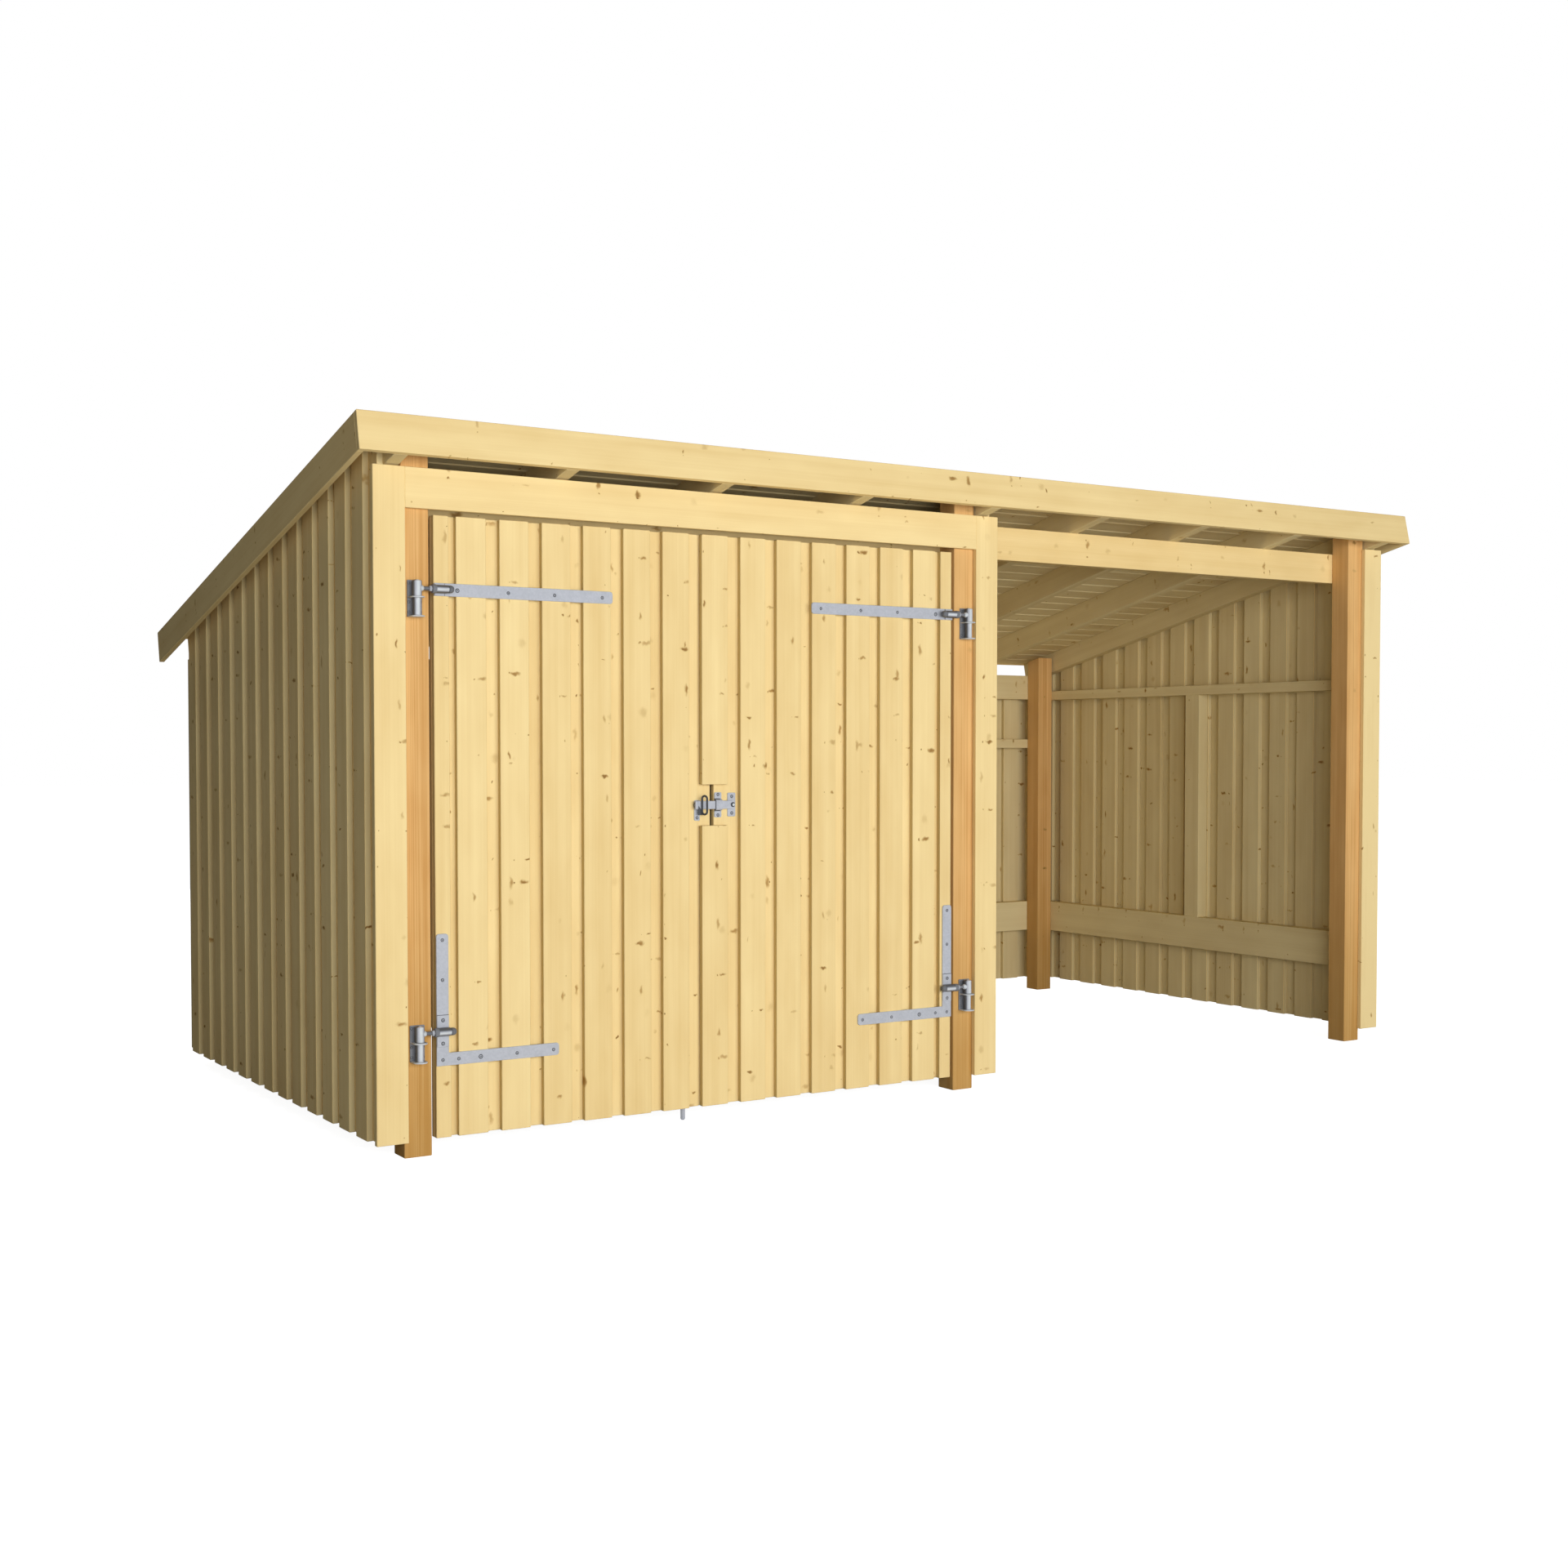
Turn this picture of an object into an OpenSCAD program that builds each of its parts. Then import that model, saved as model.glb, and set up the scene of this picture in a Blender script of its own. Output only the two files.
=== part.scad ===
// Open-front garden shed: two bays under one mono-pitch roof.
// The left bay is closed by a pair of ledged doors, the right bay is open.
// Working axes: X along the front, Y from the front to the back, Z up, millimetres.

/* [Posts and bays] */
// Centre to centre distance of the posts along the front
bay_pitch = 2140; // [1600:5:2600]
// Side of the square posts
post = 90; // [70:1:120]
// Front face of the front posts to front face of the back posts
post_depth = 2046; // [1500:1:2600]

/* [Roof] */
// Fall of the roof to the back, in degrees
roof_fall = 12.6; // [5:0.1:20]
// Length of the roof along its slope
roof_len = 2460; // [2000:5:3000]
// Front top edge of the roof above the ground
roof_high = 2284; // [1900:1:2600]
// Front top edge of the roof ahead of the posts
roof_front = 86; // [40:1:200]
// Overhang of the roof beyond the outer faces of the end posts
roof_side = 169; // [120:1:300]
// Depth of the rafters
rafter_h = 100; // [80:1:160]
// Width of the rafters
rafter_w = 45; // [35:1:70]
// Spaces between rafters in each bay
rafter_spaces = 4; // [2:1:6]
// Thickness of the roof boards
deck_t = 20; // [16:1:28]
// Thickness of the roofing felt
felt_t = 4; // [2:0.5:8]
// Thickness of the fascia and verge boards
fascia_t = 20; // [16:1:28]
// Top of the posts below the roof boards, square to the slope
post_drop = 30; // [10:1:60]

/* [Beams and rails] */
// Height of the front and back beams
beam_h = 125; // [95:1:180]
// Thickness of the front beam
beam_t = 45; // [40:1:70]
// Notch of the rafters over the front edge of the front beam
seat_notch = 1.4; // [0.5:0.1:10]
// Thickness of the wall rails, studs and back beam
rail_t = 55; // [40:1:70]
// Height of the narrow upper rail
rail_high_h = 46; // [35:1:80]
// Underside of the upper rail of the side walls below the front edge of the roof
rail_high_drop = 752; // [700:1:1000]
// Underside of the upper rail of the back wall below the front edge of the roof
rail_back_drop = 1006; // [920:1:1200]
// Height of the wide lower rail
rail_low_h = 152; // [95:1:200]
// Underside of the lower rails
rail_low_z = 311; // [150:1:500]
// Width of the stud in the side walls
stud_w = 92; // [60:1:120]
// Stud ahead of the middle of the side walls
stud_ahead = 50; // [0:1:100]
// Clearance of the rafters from the side walls
wall_clear = 0.5; // [0.3:0.1:2]

/* [Cladding] */
// Thickness of each layer of boards
board_t = 20; // [14:1:26]
// Width of the boards
board_w = 100; // [80:1:140]
// Pitch of the boards on the walls
wall_pitch = 162.3; // [120:0.1:180]
// First outer board of the side walls, from the post front
wall_first = 72; // [20:1:120]
// Lower edge of the cladding and corner boards above the ground
clad_z = 51; // [20:1:120]
// Top of the side cladding below the roof boards
side_clad_drop = 2; // [1:0.5:20]
// Top of the back cladding below the rafters
back_clad_drop = 3; // [1:0.5:20]

/* [Corner boards] */
// Thickness of the corner boards and the door header
trim_t = 20; // [14:1:28]
// Corner boards past the outer faces of the end posts
corner_out = 96; // [95:0.5:120]
// Corner boards over the front of the posts
corner_lap = 7; // [4:1:12]
// Trim of the partition over the front of the middle post
mid_lap = 3; // [2:1:12]
// Trim of the partition past its cladding
mid_out = 3; // [1:1:10]
// Top of the corner boards and the header below the rafters
trim_clear = 0.7; // [0.4:0.1:10]
// Height of the header over the doors
header_h = 125; // [80:1:180]

/* [Doors] */
// Gap between a post and its door
door_gap = 15; // [8:1:25]
// Gap between the two doors
meet_gap = 12; // [8:1:20]
// Lower edge of the doors above the ground
door_z = 52; // [20:1:120]
// Gap between the doors and the header
door_top_gap = 15; // [8:1:30]
// Face of the doors ahead of the posts
door_out = 2; // [0:0.5:6]
// Pitch of the boards on the doors
door_pitch = 146.7; // [110:0.1:170]
// Width of the half board at the hanging side
door_half_w = 50; // [40:1:70]
// First full outer board from the hanging side
door_first = 74.8; // [60:0.1:100]
// Width of the cover board over the joint
cover_w = 101; // [80:1:140]
// Rebate of the left door behind the cover board
cover_clear = 5; // [5:0.5:8]
// Height of the break in the cover board at the latch
cover_break = 140; // [120:1:220]
// Middle of the latch above the ground
latch_z = 1081; // [900:1:1300]
// Width of the ledges inside the doors
ledge_w = 100; // [70:1:140]
// Thickness of the ledges
ledge_t = 30; // [20:1:40]
// Ledges from the hanging edge of the door
ledge_edge = 30; // [10:1:60]
// Ledges from the middle of the drop bolt
ledge_bolt = 35; // [30:1:60]

/* [Hinges] */
// Hinge axis from the outer side of its post
axis_x = 42; // [35:1:60]
// Hinge axis ahead of the post
axis_y = 24; // [22:1:40]
// Radius of the hinge pin
pin_r = 8; // [6:0.5:10]
// Running clearance of the pin
pin_clear = 0.05; // [0.02:0.01:0.1]
// Outer radius of the eye
eye_r = 15; // [12:0.5:18]
// Height of the eye
eye_h = 51; // [35:1:70]
// Thickness of the cap over the pin
eye_cap = 5; // [3:0.5:8]
// Chamfer round the top of the eye
eye_chamfer = 4; // [2:0.5:6]
// Clearance of the pin below the cap and of the eye above its collar
seat_clear = 0.5; // [0.3:0.1:1]
// Height of the lower barrel of the bracket
barrel_h = 55; // [35:1:80]
// Radius of the collars of the bracket
collar_r = 22; // [17:0.5:30]
// Thickness of the collars
collar_t = 4; // [3:0.5:6]
// Width of the plate of the bracket
plate_w = 48; // [40:1:60]
// Thickness of the plate of the bracket
plate_t = 5; // [3:0.5:8]
// Radius of the adjusting rod
rod_r = 6; // [4:0.5:8]
// Length of the cone at the root of the rod
rod_cone = 6; // [4:0.5:10]
// Length of the lock nut on the rod
nut_len = 8; // [6:0.5:12]
// Radius of the sleeve on the band
sleeve_r = 14; // [10:0.5:16]
// Length of the sleeve
sleeve_len = 54; // [40:1:80]
// Sleeve past the hanging edge of the door
sleeve_out = 15; // [8:1:20]
// Length of the tapered end of the sleeve
sleeve_taper = 18; // [10:1:30]
// Width of the bands
band_w = 40; // [30:1:60]
// Thickness of the bands
band_t = 5; // [3:0.5:8]
// Length of the upper bands
band_len = 619; // [300:1:900]
// Length of the lower leg of the angle bands
angle_len = 420; // [250:1:700]
// Height of the upright leg of the angle bands
angle_h = 415; // [250:1:600]
// Middle of the upper bands below the top of the doors
band_high_drop = 230; // [120:1:400]
// Lower edge of the angle bands above the ground
angle_z = 279; // [150:1:400]
// Sleeve of the angle bands above their lower edge
angle_sleeve = 109; // [80:1:160]

/* [Latch] */
// Thickness of the latch plates
latch_t = 3; // [2:0.5:4]
// Inner edge of the plate that carries the bar, from the middle of the doors
latch_plate_x = 59; // [50:1:80]
// Width of the plate that carries the bar
latch_plate_w = 32; // [24:1:40]
// Height of the plate that carries the bar
latch_plate_h = 82; // [60:1:110]
// Inner edge of the bridge, from the middle of the doors
bridge_x = 7; // [6:0.5:12]
// Width of the bridge
bridge_w = 28; // [20:1:40]
// Height of the foot plate of the bridge
bridge_h = 86; // [60:1:110]
// Height of the raised middle of the bridge
bridge_mid_h = 39; // [34:1:50]
// Face of the bridge ahead of the boards
bridge_out = 15; // [13:0.5:20]
// Width of the bar
bar_w = 28; // [20:1:32]
// Thickness of the bar
bar_t = 4; // [3:0.5:6]
// Face of the bar ahead of the boards
bar_out = 12; // [9:0.5:12]
// Bar past the middle of the doors
bar_reach = 70; // [50:1:80]
// Radius of the knuckle at the end of the bar
knuckle_r = 6; // [4:0.5:8]
// Radius of the bolt head on the plate
knob_r = 8; // [6:0.5:12]
// Middle of the loop, from the middle of the doors
loop_x = 43; // [35:1:50]
// Height of the loop
loop_h = 70; // [50:1:90]
// Depth of the loop
loop_d = 28; // [20:1:36]
// Thickness of the wire of the loop
loop_t = 7; // [5:0.5:9]
// Turn of the loop from square to the doors
loop_turn = 25; // [0:1:40]
// Outer edge of the keeper plate, from the middle of the doors
keeper_x = 72; // [66:1:90]
// Width of the keeper plate
keeper_w = 22; // [14:1:26]
// Height of the keeper plate
keeper_h = 70; // [50:1:90]
// Middle of the keeper plate below the middle of the latch
keeper_drop = 18; // [0:1:30]

/* [Drop bolt] */
// Radius of the bolt
bolt_r = 8; // [6:0.5:10]
// Bolt from the meeting edge of the left door
bolt_in = 94; // [60:1:150]
// Tip of the bolt above the ground
bolt_tip = 4; // [2:1:30]
// Length of the bolt
bolt_len = 520; // [300:1:800]
// Bolt clear of the boards
bolt_gap = 3; // [1:0.5:8]
// Running clearance of the bolt in its guides
bolt_clear = 0.3; // [0.1:0.05:0.6]
// Handle of the bolt below its top
handle_drop = 60; // [20:1:120]
// Length of the handle
handle_len = 45; // [30:1:60]
// Width of the guides
guide_w = 44; // [34:1:60]
// Height of the guides
guide_h = 30; // [20:1:50]
// Lower guide above the lower edge of the door
guide_low = 20; // [5:1:60]
// Upper guide above the lower one
guide_pitch = 300; // [150:1:400]

/* [Hidden] */
$fn = 48;
eps = 0.01;
width = 2 * bay_pitch + post;
depth = post_depth + post;
roof_t = rafter_h + deck_t + felt_t;
roof_left = -roof_side;
roof_wide = width + 2 * roof_side;
low_y = -roof_front - roof_t * sin(roof_fall);
high_y = -roof_front + roof_len * cos(roof_fall);
mid_x = width / 2;
mid_y = (low_y + high_y) / 2;
cut_room = roof_side;
rail_high_z = roof_high - rail_high_drop;
rail_back_z = roof_high - rail_back_drop;
trim_top = under_z(0) - trim_clear;
beam_top = under_z(post) + seat_notch;
beam_z = beam_top - beam_h;
back_beam_top = under_z(depth);
clad_t = 2 * board_t;
wall_out = rail_t + clad_t;
rear_y = depth + rail_t;
part_x = bay_pitch + post;
door_l = post + door_gap;
door_r = bay_pitch - door_gap;
door_mid = (post + bay_pitch) / 2;
leaf_w = (door_r - door_l - meet_gap) / 2;
door_top = trim_top - header_h - door_top_gap;
door_h = door_top - door_z;
door_n = floor((leaf_w - door_first) / door_pitch);
inner_y = board_t - door_out;
back_face = 2 * board_t - door_out;
band_low_z = angle_z + angle_sleeve;
band_high_z = door_top - band_high_drop;
sleeve_x = door_l - sleeve_out;
rafter_left = -rail_t + wall_clear;
rafter_mid = part_x + rail_t - rafter_w - wall_clear;
rafter_step_l = (rafter_mid - rafter_left) / rafter_spaces;
rafter_step_r = bay_pitch / rafter_spaces;
break_z = latch_z - cover_break / 2;
wood = [0.93, 0.82, 0.57];
post_wood = [0.82, 0.60, 0.36];
shade_wood = [0.72, 0.62, 0.42];
zinc = [0.74, 0.75, 0.77];
felt = [0.24, 0.25, 0.25];

// Height of the rafter underside at a distance behind the post fronts
function under_z(y) = roof_high - (y + roof_front) * tan(roof_fall) - roof_t / cos(roof_fall);

// The row frame: middle of the base
module in_frame() {
  translate([-mid_x, -mid_y, 0]) children();
}

// Axes on the roof: Y down the slope from the front edge, Z square to it
module on_roof() {
  translate([0, -roof_front, roof_high]) rotate([-roof_fall, 0, 0]) children();
}

// Everything above a plane parallel to the roof, a depth below its top
module above_roof(drop) {
  on_roof() translate([roof_left - cut_room, -cut_room, -drop])
    cube([roof_wide + 2 * cut_room, roof_len + 2 * cut_room, roof_high]);
}

// Mirror about the middle of the door bay
module other_side() {
  translate([2 * door_mid, 0, 0]) mirror([1, 0, 0]) children();
}

// Posts, cut to the slope under the roof boards
module shed_post(x, y) {
  color(post_wood) in_frame() difference() {
    translate([x, y, 0]) cube([post, post, roof_high]);
    above_roof(felt_t + deck_t + post_drop);
  }
}

module post_front_left() {
  shed_post(0, 0);
}

module post_front_mid() {
  shed_post(bay_pitch, 0);
}

module post_front_right() {
  shed_post(2 * bay_pitch, 0);
}

module post_back_left() {
  shed_post(0, post_depth);
}

module post_back_mid() {
  shed_post(bay_pitch, post_depth);
}

module post_back_right() {
  shed_post(2 * bay_pitch, post_depth);
}

// Beams that carry the rafters
module front_beam_body() {
  translate([-rail_t, post, beam_z]) cube([width + 2 * rail_t, beam_t, beam_h]);
}

module back_beam_body() {
  translate([-rail_t, depth, back_beam_top - beam_h]) cube([width + 2 * rail_t, rail_t, beam_h]);
}

module front_beam() {
  color(wood) in_frame() front_beam_body();
}

module back_beam() {
  color(wood) in_frame() back_beam_body();
}

module door_header() {
  color(wood) in_frame() translate([corner_lap, -trim_t, trim_top - header_h])
    cube([part_x - mid_lap - corner_lap, trim_t, header_h]);
}

// Roof: rafters seated on the beams, boards, felt and edge boards
module rafter_at(x) {
  on_roof() translate([x, fascia_t, -roof_t]) cube([rafter_w, roof_len - 2 * fascia_t, rafter_h]);
}

module rafters() {
  color(shade_wood) in_frame() difference() {
    union() {
      for (i = [0 : rafter_spaces - 1]) rafter_at(rafter_left + i * rafter_step_l);
      for (i = [0 : rafter_spaces]) rafter_at(rafter_mid + i * rafter_step_r);
    }
    front_beam_body();
    back_beam_body();
  }
}

module roof_sheet(top, thick) {
  on_roof() translate([roof_left + fascia_t, fascia_t, -top - thick])
    cube([roof_wide - 2 * fascia_t, roof_len - 2 * fascia_t, thick]);
}

module roof_deck() {
  color(shade_wood) in_frame() roof_sheet(felt_t, deck_t);
}

module roof_felt() {
  color(felt) in_frame() roof_sheet(0, felt_t);
}

module front_fascia() {
  color(wood) in_frame() on_roof() translate([roof_left, 0, -roof_t]) cube([roof_wide, fascia_t, roof_t]);
}

// The rear edge only covers the roof boards and the felt, so that air passes between the rafters
module rear_fascia() {
  h = deck_t + felt_t;
  color(wood) in_frame() on_roof() translate([roof_left + fascia_t, roof_len - fascia_t, -h])
    cube([roof_wide - 2 * fascia_t, fascia_t, h]);
}

module verge_at(x) {
  color(wood) in_frame() on_roof() translate([x, fascia_t, -roof_t])
    cube([fascia_t, roof_len - fascia_t, roof_t]);
}

module left_verge() {
  verge_at(roof_left);
}

module right_verge() {
  verge_at(roof_left + roof_wide - fascia_t);
}

// Side wall frame on the outer faces of a row of posts: two rails and a stud
module wall_frame(x) {
  mid = depth / 2;
  color(wood) in_frame() union() {
    translate([x, 0, rail_low_z]) cube([rail_t, depth, rail_low_h]);
    translate([x, 0, rail_high_z]) cube([rail_t, depth, rail_high_h]);
    translate([x, mid - stud_w / 2 - stud_ahead, rail_low_z + rail_low_h - eps])
      cube([rail_t, stud_w, rail_high_z - rail_low_z - rail_low_h + 2 * eps]);
  }
}

// Plan of board-on-board cladding from 0 to len: inner boards at v 0, outer boards on them
module board_plan(len, first, pitch, w, t) {
  n = floor((len - first - w / 2) / pitch);
  for (i = [0 : n]) translate([first + i * pitch, t]) square([w, t]);
  for (i = [-1 : n]) {
    a = i == -1 ? 0 : first + i * pitch + w + (pitch - w) / 2 - w / 2;
    b = i == n ? len : min(len, first + i * pitch + w + (pitch - w) / 2 + w / 2);
    translate([a, 0]) square([b - a, t]);
  }
}

// Cladding of a side wall, grown outwards from the rails, cut under the roof boards
module side_cladding(len) {
  difference() {
    translate([0, 0, clad_z]) rotate([0, 0, 90]) linear_extrude(roof_high)
      board_plan(len, wall_first, wall_pitch, board_w, board_t);
    above_roof(felt_t + deck_t + side_clad_drop);
  }
}

module left_wall_frame() {
  wall_frame(-rail_t);
}

module left_wall_cladding() {
  color(wood) in_frame() translate([-rail_t, 0, 0]) side_cladding(rear_y);
}

module right_wall_frame() {
  wall_frame(width);
}

module right_wall_cladding() {
  color(wood) in_frame() translate([width + rail_t, 0, 0]) mirror([1, 0, 0]) side_cladding(rear_y);
}

module partition_frame() {
  wall_frame(part_x);
}

module partition_cladding() {
  color(wood) in_frame() difference() {
    translate([part_x + rail_t, 0, 0]) mirror([1, 0, 0]) side_cladding(depth);
    front_beam_body();
  }
}

// Back wall: rails behind the posts and cladding behind them, ending at the side walls
module back_wall_rails() {
  color(wood) in_frame() union() {
    translate([-rail_t, depth, rail_low_z]) cube([width + 2 * rail_t, rail_t, rail_low_h]);
    translate([-rail_t, depth, rail_back_z]) cube([width + 2 * rail_t, rail_t, rail_high_h]);
  }
}

module back_wall_cladding() {
  len = width + 2 * rail_t + 2 * board_t;
  count = floor((len - 2 * board_w) / wall_pitch);
  first = (len - count * wall_pitch - board_w) / 2;
  top = under_z(rear_y + clad_t) - back_clad_drop;
  color(wood) in_frame() translate([-rail_t - board_t, rear_y, clad_z])
    linear_extrude(top - clad_z) board_plan(len, first, wall_pitch, board_w, board_t);
}

// Boards that close the wall ends at the front
module trim_at(x, w) {
  color(wood) in_frame() translate([x, -trim_t, clad_z]) cube([w, trim_t, trim_top - clad_z]);
}

module left_corner_board() {
  trim_at(-corner_out, corner_out + corner_lap);
}

module mid_trim_board() {
  trim_at(part_x - mid_lap, wall_out + mid_lap + mid_out);
}

module right_corner_board() {
  trim_at(width - corner_lap, corner_out + corner_lap);
}

// Plan of a door leaf from its hanging edge: outer boards ahead of inner boards
module leaf_plan() {
  square_at(0, door_half_w, 0);
  for (i = [0 : door_n - 1]) square_at(door_first + i * door_pitch, board_w, 0);
  gap_mid = (door_half_w + door_first) / 2;
  square_at(0, gap_mid + board_w / 4, 1);
  for (i = [0 : door_n - 2]) {
    c = door_first + i * door_pitch + (door_pitch + board_w) / 2;
    square_at(c - board_w / 2, board_w, 1);
  }
  last = door_first + (door_n - 1) * door_pitch + (door_pitch + board_w) / 2 - board_w / 2;
  square_at(last, leaf_w - last, 1);
}

module square_at(x, w, layer) {
  translate([x, layer * board_t]) square([w, board_t]);
}

module leaf_boards() {
  translate([door_l, -door_out, door_z]) linear_extrude(door_h) leaf_plan();
}

// Ledges behind the bands and a brace between them, drawn on the inside of the door
module leaf_ledges() {
  x0 = door_l + ledge_edge;
  x1 = door_l + leaf_w - bolt_in - ledge_bolt;
  low = band_low_z - ledge_w / 2;
  high = band_high_z - ledge_w / 2;
  foot = 1.2 * ledge_w;
  lap = ledge_w / 2;
  translate([0, back_face, 0]) rotate([90, 0, 0]) mirror([0, 0, 1]) linear_extrude(ledge_t) {
    translate([x0, low]) square([x1 - x0, ledge_w]);
    translate([x0, high]) square([x1 - x0, ledge_w]);
    polygon([
      [x0 + lap, low + lap],
      [x0 + lap + foot, low + lap],
      [x1 - lap, high + lap],
      [x1 - lap - foot, high + lap]
    ]);
  }
}

module left_door_boards() {
  color(wood) in_frame() difference() {
    leaf_boards();
    translate([door_mid - cover_w / 2 - cover_clear, -door_out - eps, 0])
      cube([cover_w, board_t + cover_clear + eps, roof_high]);
  }
}

module left_door_ledges() {
  color(wood) in_frame() leaf_ledges();
}

module right_door_boards() {
  color(wood) in_frame() other_side() leaf_boards();
}

module right_door_ledges() {
  color(wood) in_frame() other_side() leaf_ledges();
}

// Cover board on the right door, broken at the latch
module door_cover_board() {
  color(wood) in_frame() translate([door_mid - cover_w / 2, -door_out, 0]) {
    translate([0, 0, door_z]) cube([cover_w, board_t, break_z - door_z]);
    translate([0, 0, break_z + cover_break]) cube([cover_w, board_t, door_top - break_z - cover_break]);
  }
}

// A band's eye, adjusting rod and sleeve, for a sleeve at height z
module eye_and_sleeve(z) {
  eye_z = z - eye_h / 2;
  cone_x = axis_x + eye_r - nut_len / 2;
  difference() {
    union() {
      translate([axis_x, -axis_y, eye_z]) cylinder(r = eye_r, h = eye_h - eye_chamfer);
      translate([axis_x, -axis_y, eye_z + eye_h - eye_chamfer])
        cylinder(r1 = eye_r, r2 = eye_r - eye_chamfer, h = eye_chamfer);
      along_x(axis_x, z) cylinder(r = rod_r, h = sleeve_x - axis_x + nut_len);
      along_x(cone_x, z) cylinder(r1 = eye_r - nut_len / 2, r2 = rod_r, h = rod_cone + nut_len / 2);
      along_x(sleeve_x - nut_len, z) cylinder(r = sleeve_r - band_t, h = nut_len, $fn = 6);
      along_x(sleeve_x, z) cylinder(r = sleeve_r, h = sleeve_len);
      along_x(sleeve_x + sleeve_len, z)
        cylinder(r1 = sleeve_r - 2, r2 = sleeve_r / 2, h = sleeve_taper);
      translate([door_l, -axis_y, z - sleeve_r + 2])
        cube([sleeve_len - sleeve_out, axis_y - door_out - band_t + eps, 2 * sleeve_r - 4]);
    }
    translate([axis_x, -axis_y, eye_z - eps]) cylinder(r = pin_r + pin_clear, h = eye_h - eye_cap);
  }
}

// Turn children's Z along X, on the line of the hinge rods
module along_x(x, z) {
  translate([x, -axis_y, z]) rotate([0, 90, 0]) children();
}

// Upper straight band and lower angle band of the left door
module leaf_bands() {
  y = -door_out - band_t;
  end_r = band_w / 4;
  union() {
    eye_and_sleeve(band_high_z);
    translate([door_l, y, band_high_z - band_w / 2]) rotate([90, 0, 0]) mirror([0, 0, 1])
      linear_extrude(band_t) round_bar(band_len, band_w, end_r);
  }
  union() {
    eye_and_sleeve(band_low_z);
    translate([door_l, y, angle_z]) rotate([90, 0, 0]) mirror([0, 0, 1]) linear_extrude(band_t) {
      round_bar(angle_len, band_w, end_r);
      translate([band_w, 0]) rotate(90) round_bar(angle_h, band_w, end_r);
    }
  }
}

// A flat bar from 0 along X with rounded corners at its far end
module round_bar(len, w, r) {
  square([len - r, w]);
  translate([0, r]) square([len, w - 2 * r]);
  translate([len - r, r]) circle(r);
  translate([len - r, w - r]) circle(r);
}

module left_door_bands() {
  color(zinc) in_frame() leaf_bands();
}

module right_door_bands() {
  color(zinc) in_frame() other_side() leaf_bands();
}

// Hinge bracket on a post: plate, two collars, barrel and pin, for an eye at height z
module hinge_bracket(z) {
  seat = z - eye_h / 2 - seat_clear;
  foot = seat - 2 * collar_t - barrel_h;
  translate([axis_x - plate_w / 2, -plate_t, foot]) cube([plate_w, plate_t, z + eye_h / 2 - foot]);
  for (h = [seat - collar_t, foot]) {
    translate([axis_x, -axis_y, h]) cylinder(r = collar_r, h = collar_t);
    translate([axis_x - collar_r, -axis_y, h]) cube([2 * collar_r, axis_y - plate_t + eps, collar_t]);
  }
  translate([axis_x, -axis_y, foot + collar_t - eps]) cylinder(r = eye_r - 2, h = barrel_h + 2 * eps);
  translate([axis_x, -axis_y, seat - eps]) cylinder(r = pin_r, h = eye_h - eye_cap - seat_clear);
}

module bracket_pair() {
  hinge_bracket(band_high_z);
  hinge_bracket(band_low_z);
}

module left_hinge_brackets() {
  color(zinc) in_frame() bracket_pair();
}

module right_hinge_brackets() {
  color(zinc) in_frame() other_side() bracket_pair();
}

// Latch: a keeper plate on the left door; plate, bridge, bar, knuckle and loop on the right door
module latch_keeper() {
  color(zinc) in_frame() on_latch(-keeper_x, -keeper_drop, latch_t) plate(keeper_w, keeper_h, latch_t);
}

module latch_bar() {
  knob_x = latch_plate_x + latch_plate_w / 2;
  color(zinc) in_frame() union() {
    on_latch(latch_plate_x, 0, latch_t) plate(latch_plate_w, latch_plate_h, latch_t);
    on_latch(knob_x, 0, 0) rotate([90, 0, 0]) cylinder(r = knob_r, h = bridge_out);
    on_latch(bridge_x, 0, latch_t) plate(bridge_w, bridge_h, latch_t);
    on_latch(bridge_x, 0, bridge_out) plate(bridge_w, bridge_mid_h, bridge_out);
    on_latch(bridge_x, 0, bar_out) plate(knob_x - bridge_x, bar_w, bar_out - latch_t + eps);
    on_latch(-bar_reach, 0, bar_out) plate(bar_reach + bridge_x + eps, bar_w, bar_t);
    on_latch(-bar_reach, -bar_w / 2, bar_out + knuckle_r - bar_t) cylinder(r = knuckle_r, h = bar_w);
    on_latch(-loop_x, 0, bar_out - bar_t + loop_d / 2 + 1) rotate(loop_turn) latch_loop();
  }
}

// A point on the latch: x from the middle of the doors, z from the middle of the latch, out from the boards
module on_latch(x, z, out) {
  translate([door_mid + x, inner_y - out, latch_z + z]) children();
}

// An upright plate from its left edge, half of it above and half below
module plate(w, h, t) {
  translate([0, 0, -h / 2]) cube([w, t, h]);
}

// Upright ring with round ends that reaches forward round the bar
module latch_loop() {
  rotate([0, 90, 0]) linear_extrude(loop_t, center = true) difference() {
    round_slot(loop_h, loop_d);
    round_slot(loop_h - 2 * loop_t, loop_d - 2 * loop_t);
  }
}

// A slot with round ends, its length along X
module round_slot(len, w) {
  square([len - w, w], center = true);
  for (side = [-1, 1]) translate([side * (len - w) / 2, 0]) circle(w / 2);
}

// Drop bolt inside the left door
module at_bolt(z) {
  translate([door_l + leaf_w - bolt_in, back_face + bolt_r + bolt_gap, z]) children();
}

module drop_bolt() {
  color(zinc) in_frame() union() {
    at_bolt(bolt_tip) cylinder(r = bolt_r, h = bolt_len);
    at_bolt(bolt_tip + bolt_len - handle_drop) rotate([-90, 0, 0]) cylinder(r = bolt_r - 2, h = handle_len);
  }
}

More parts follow.
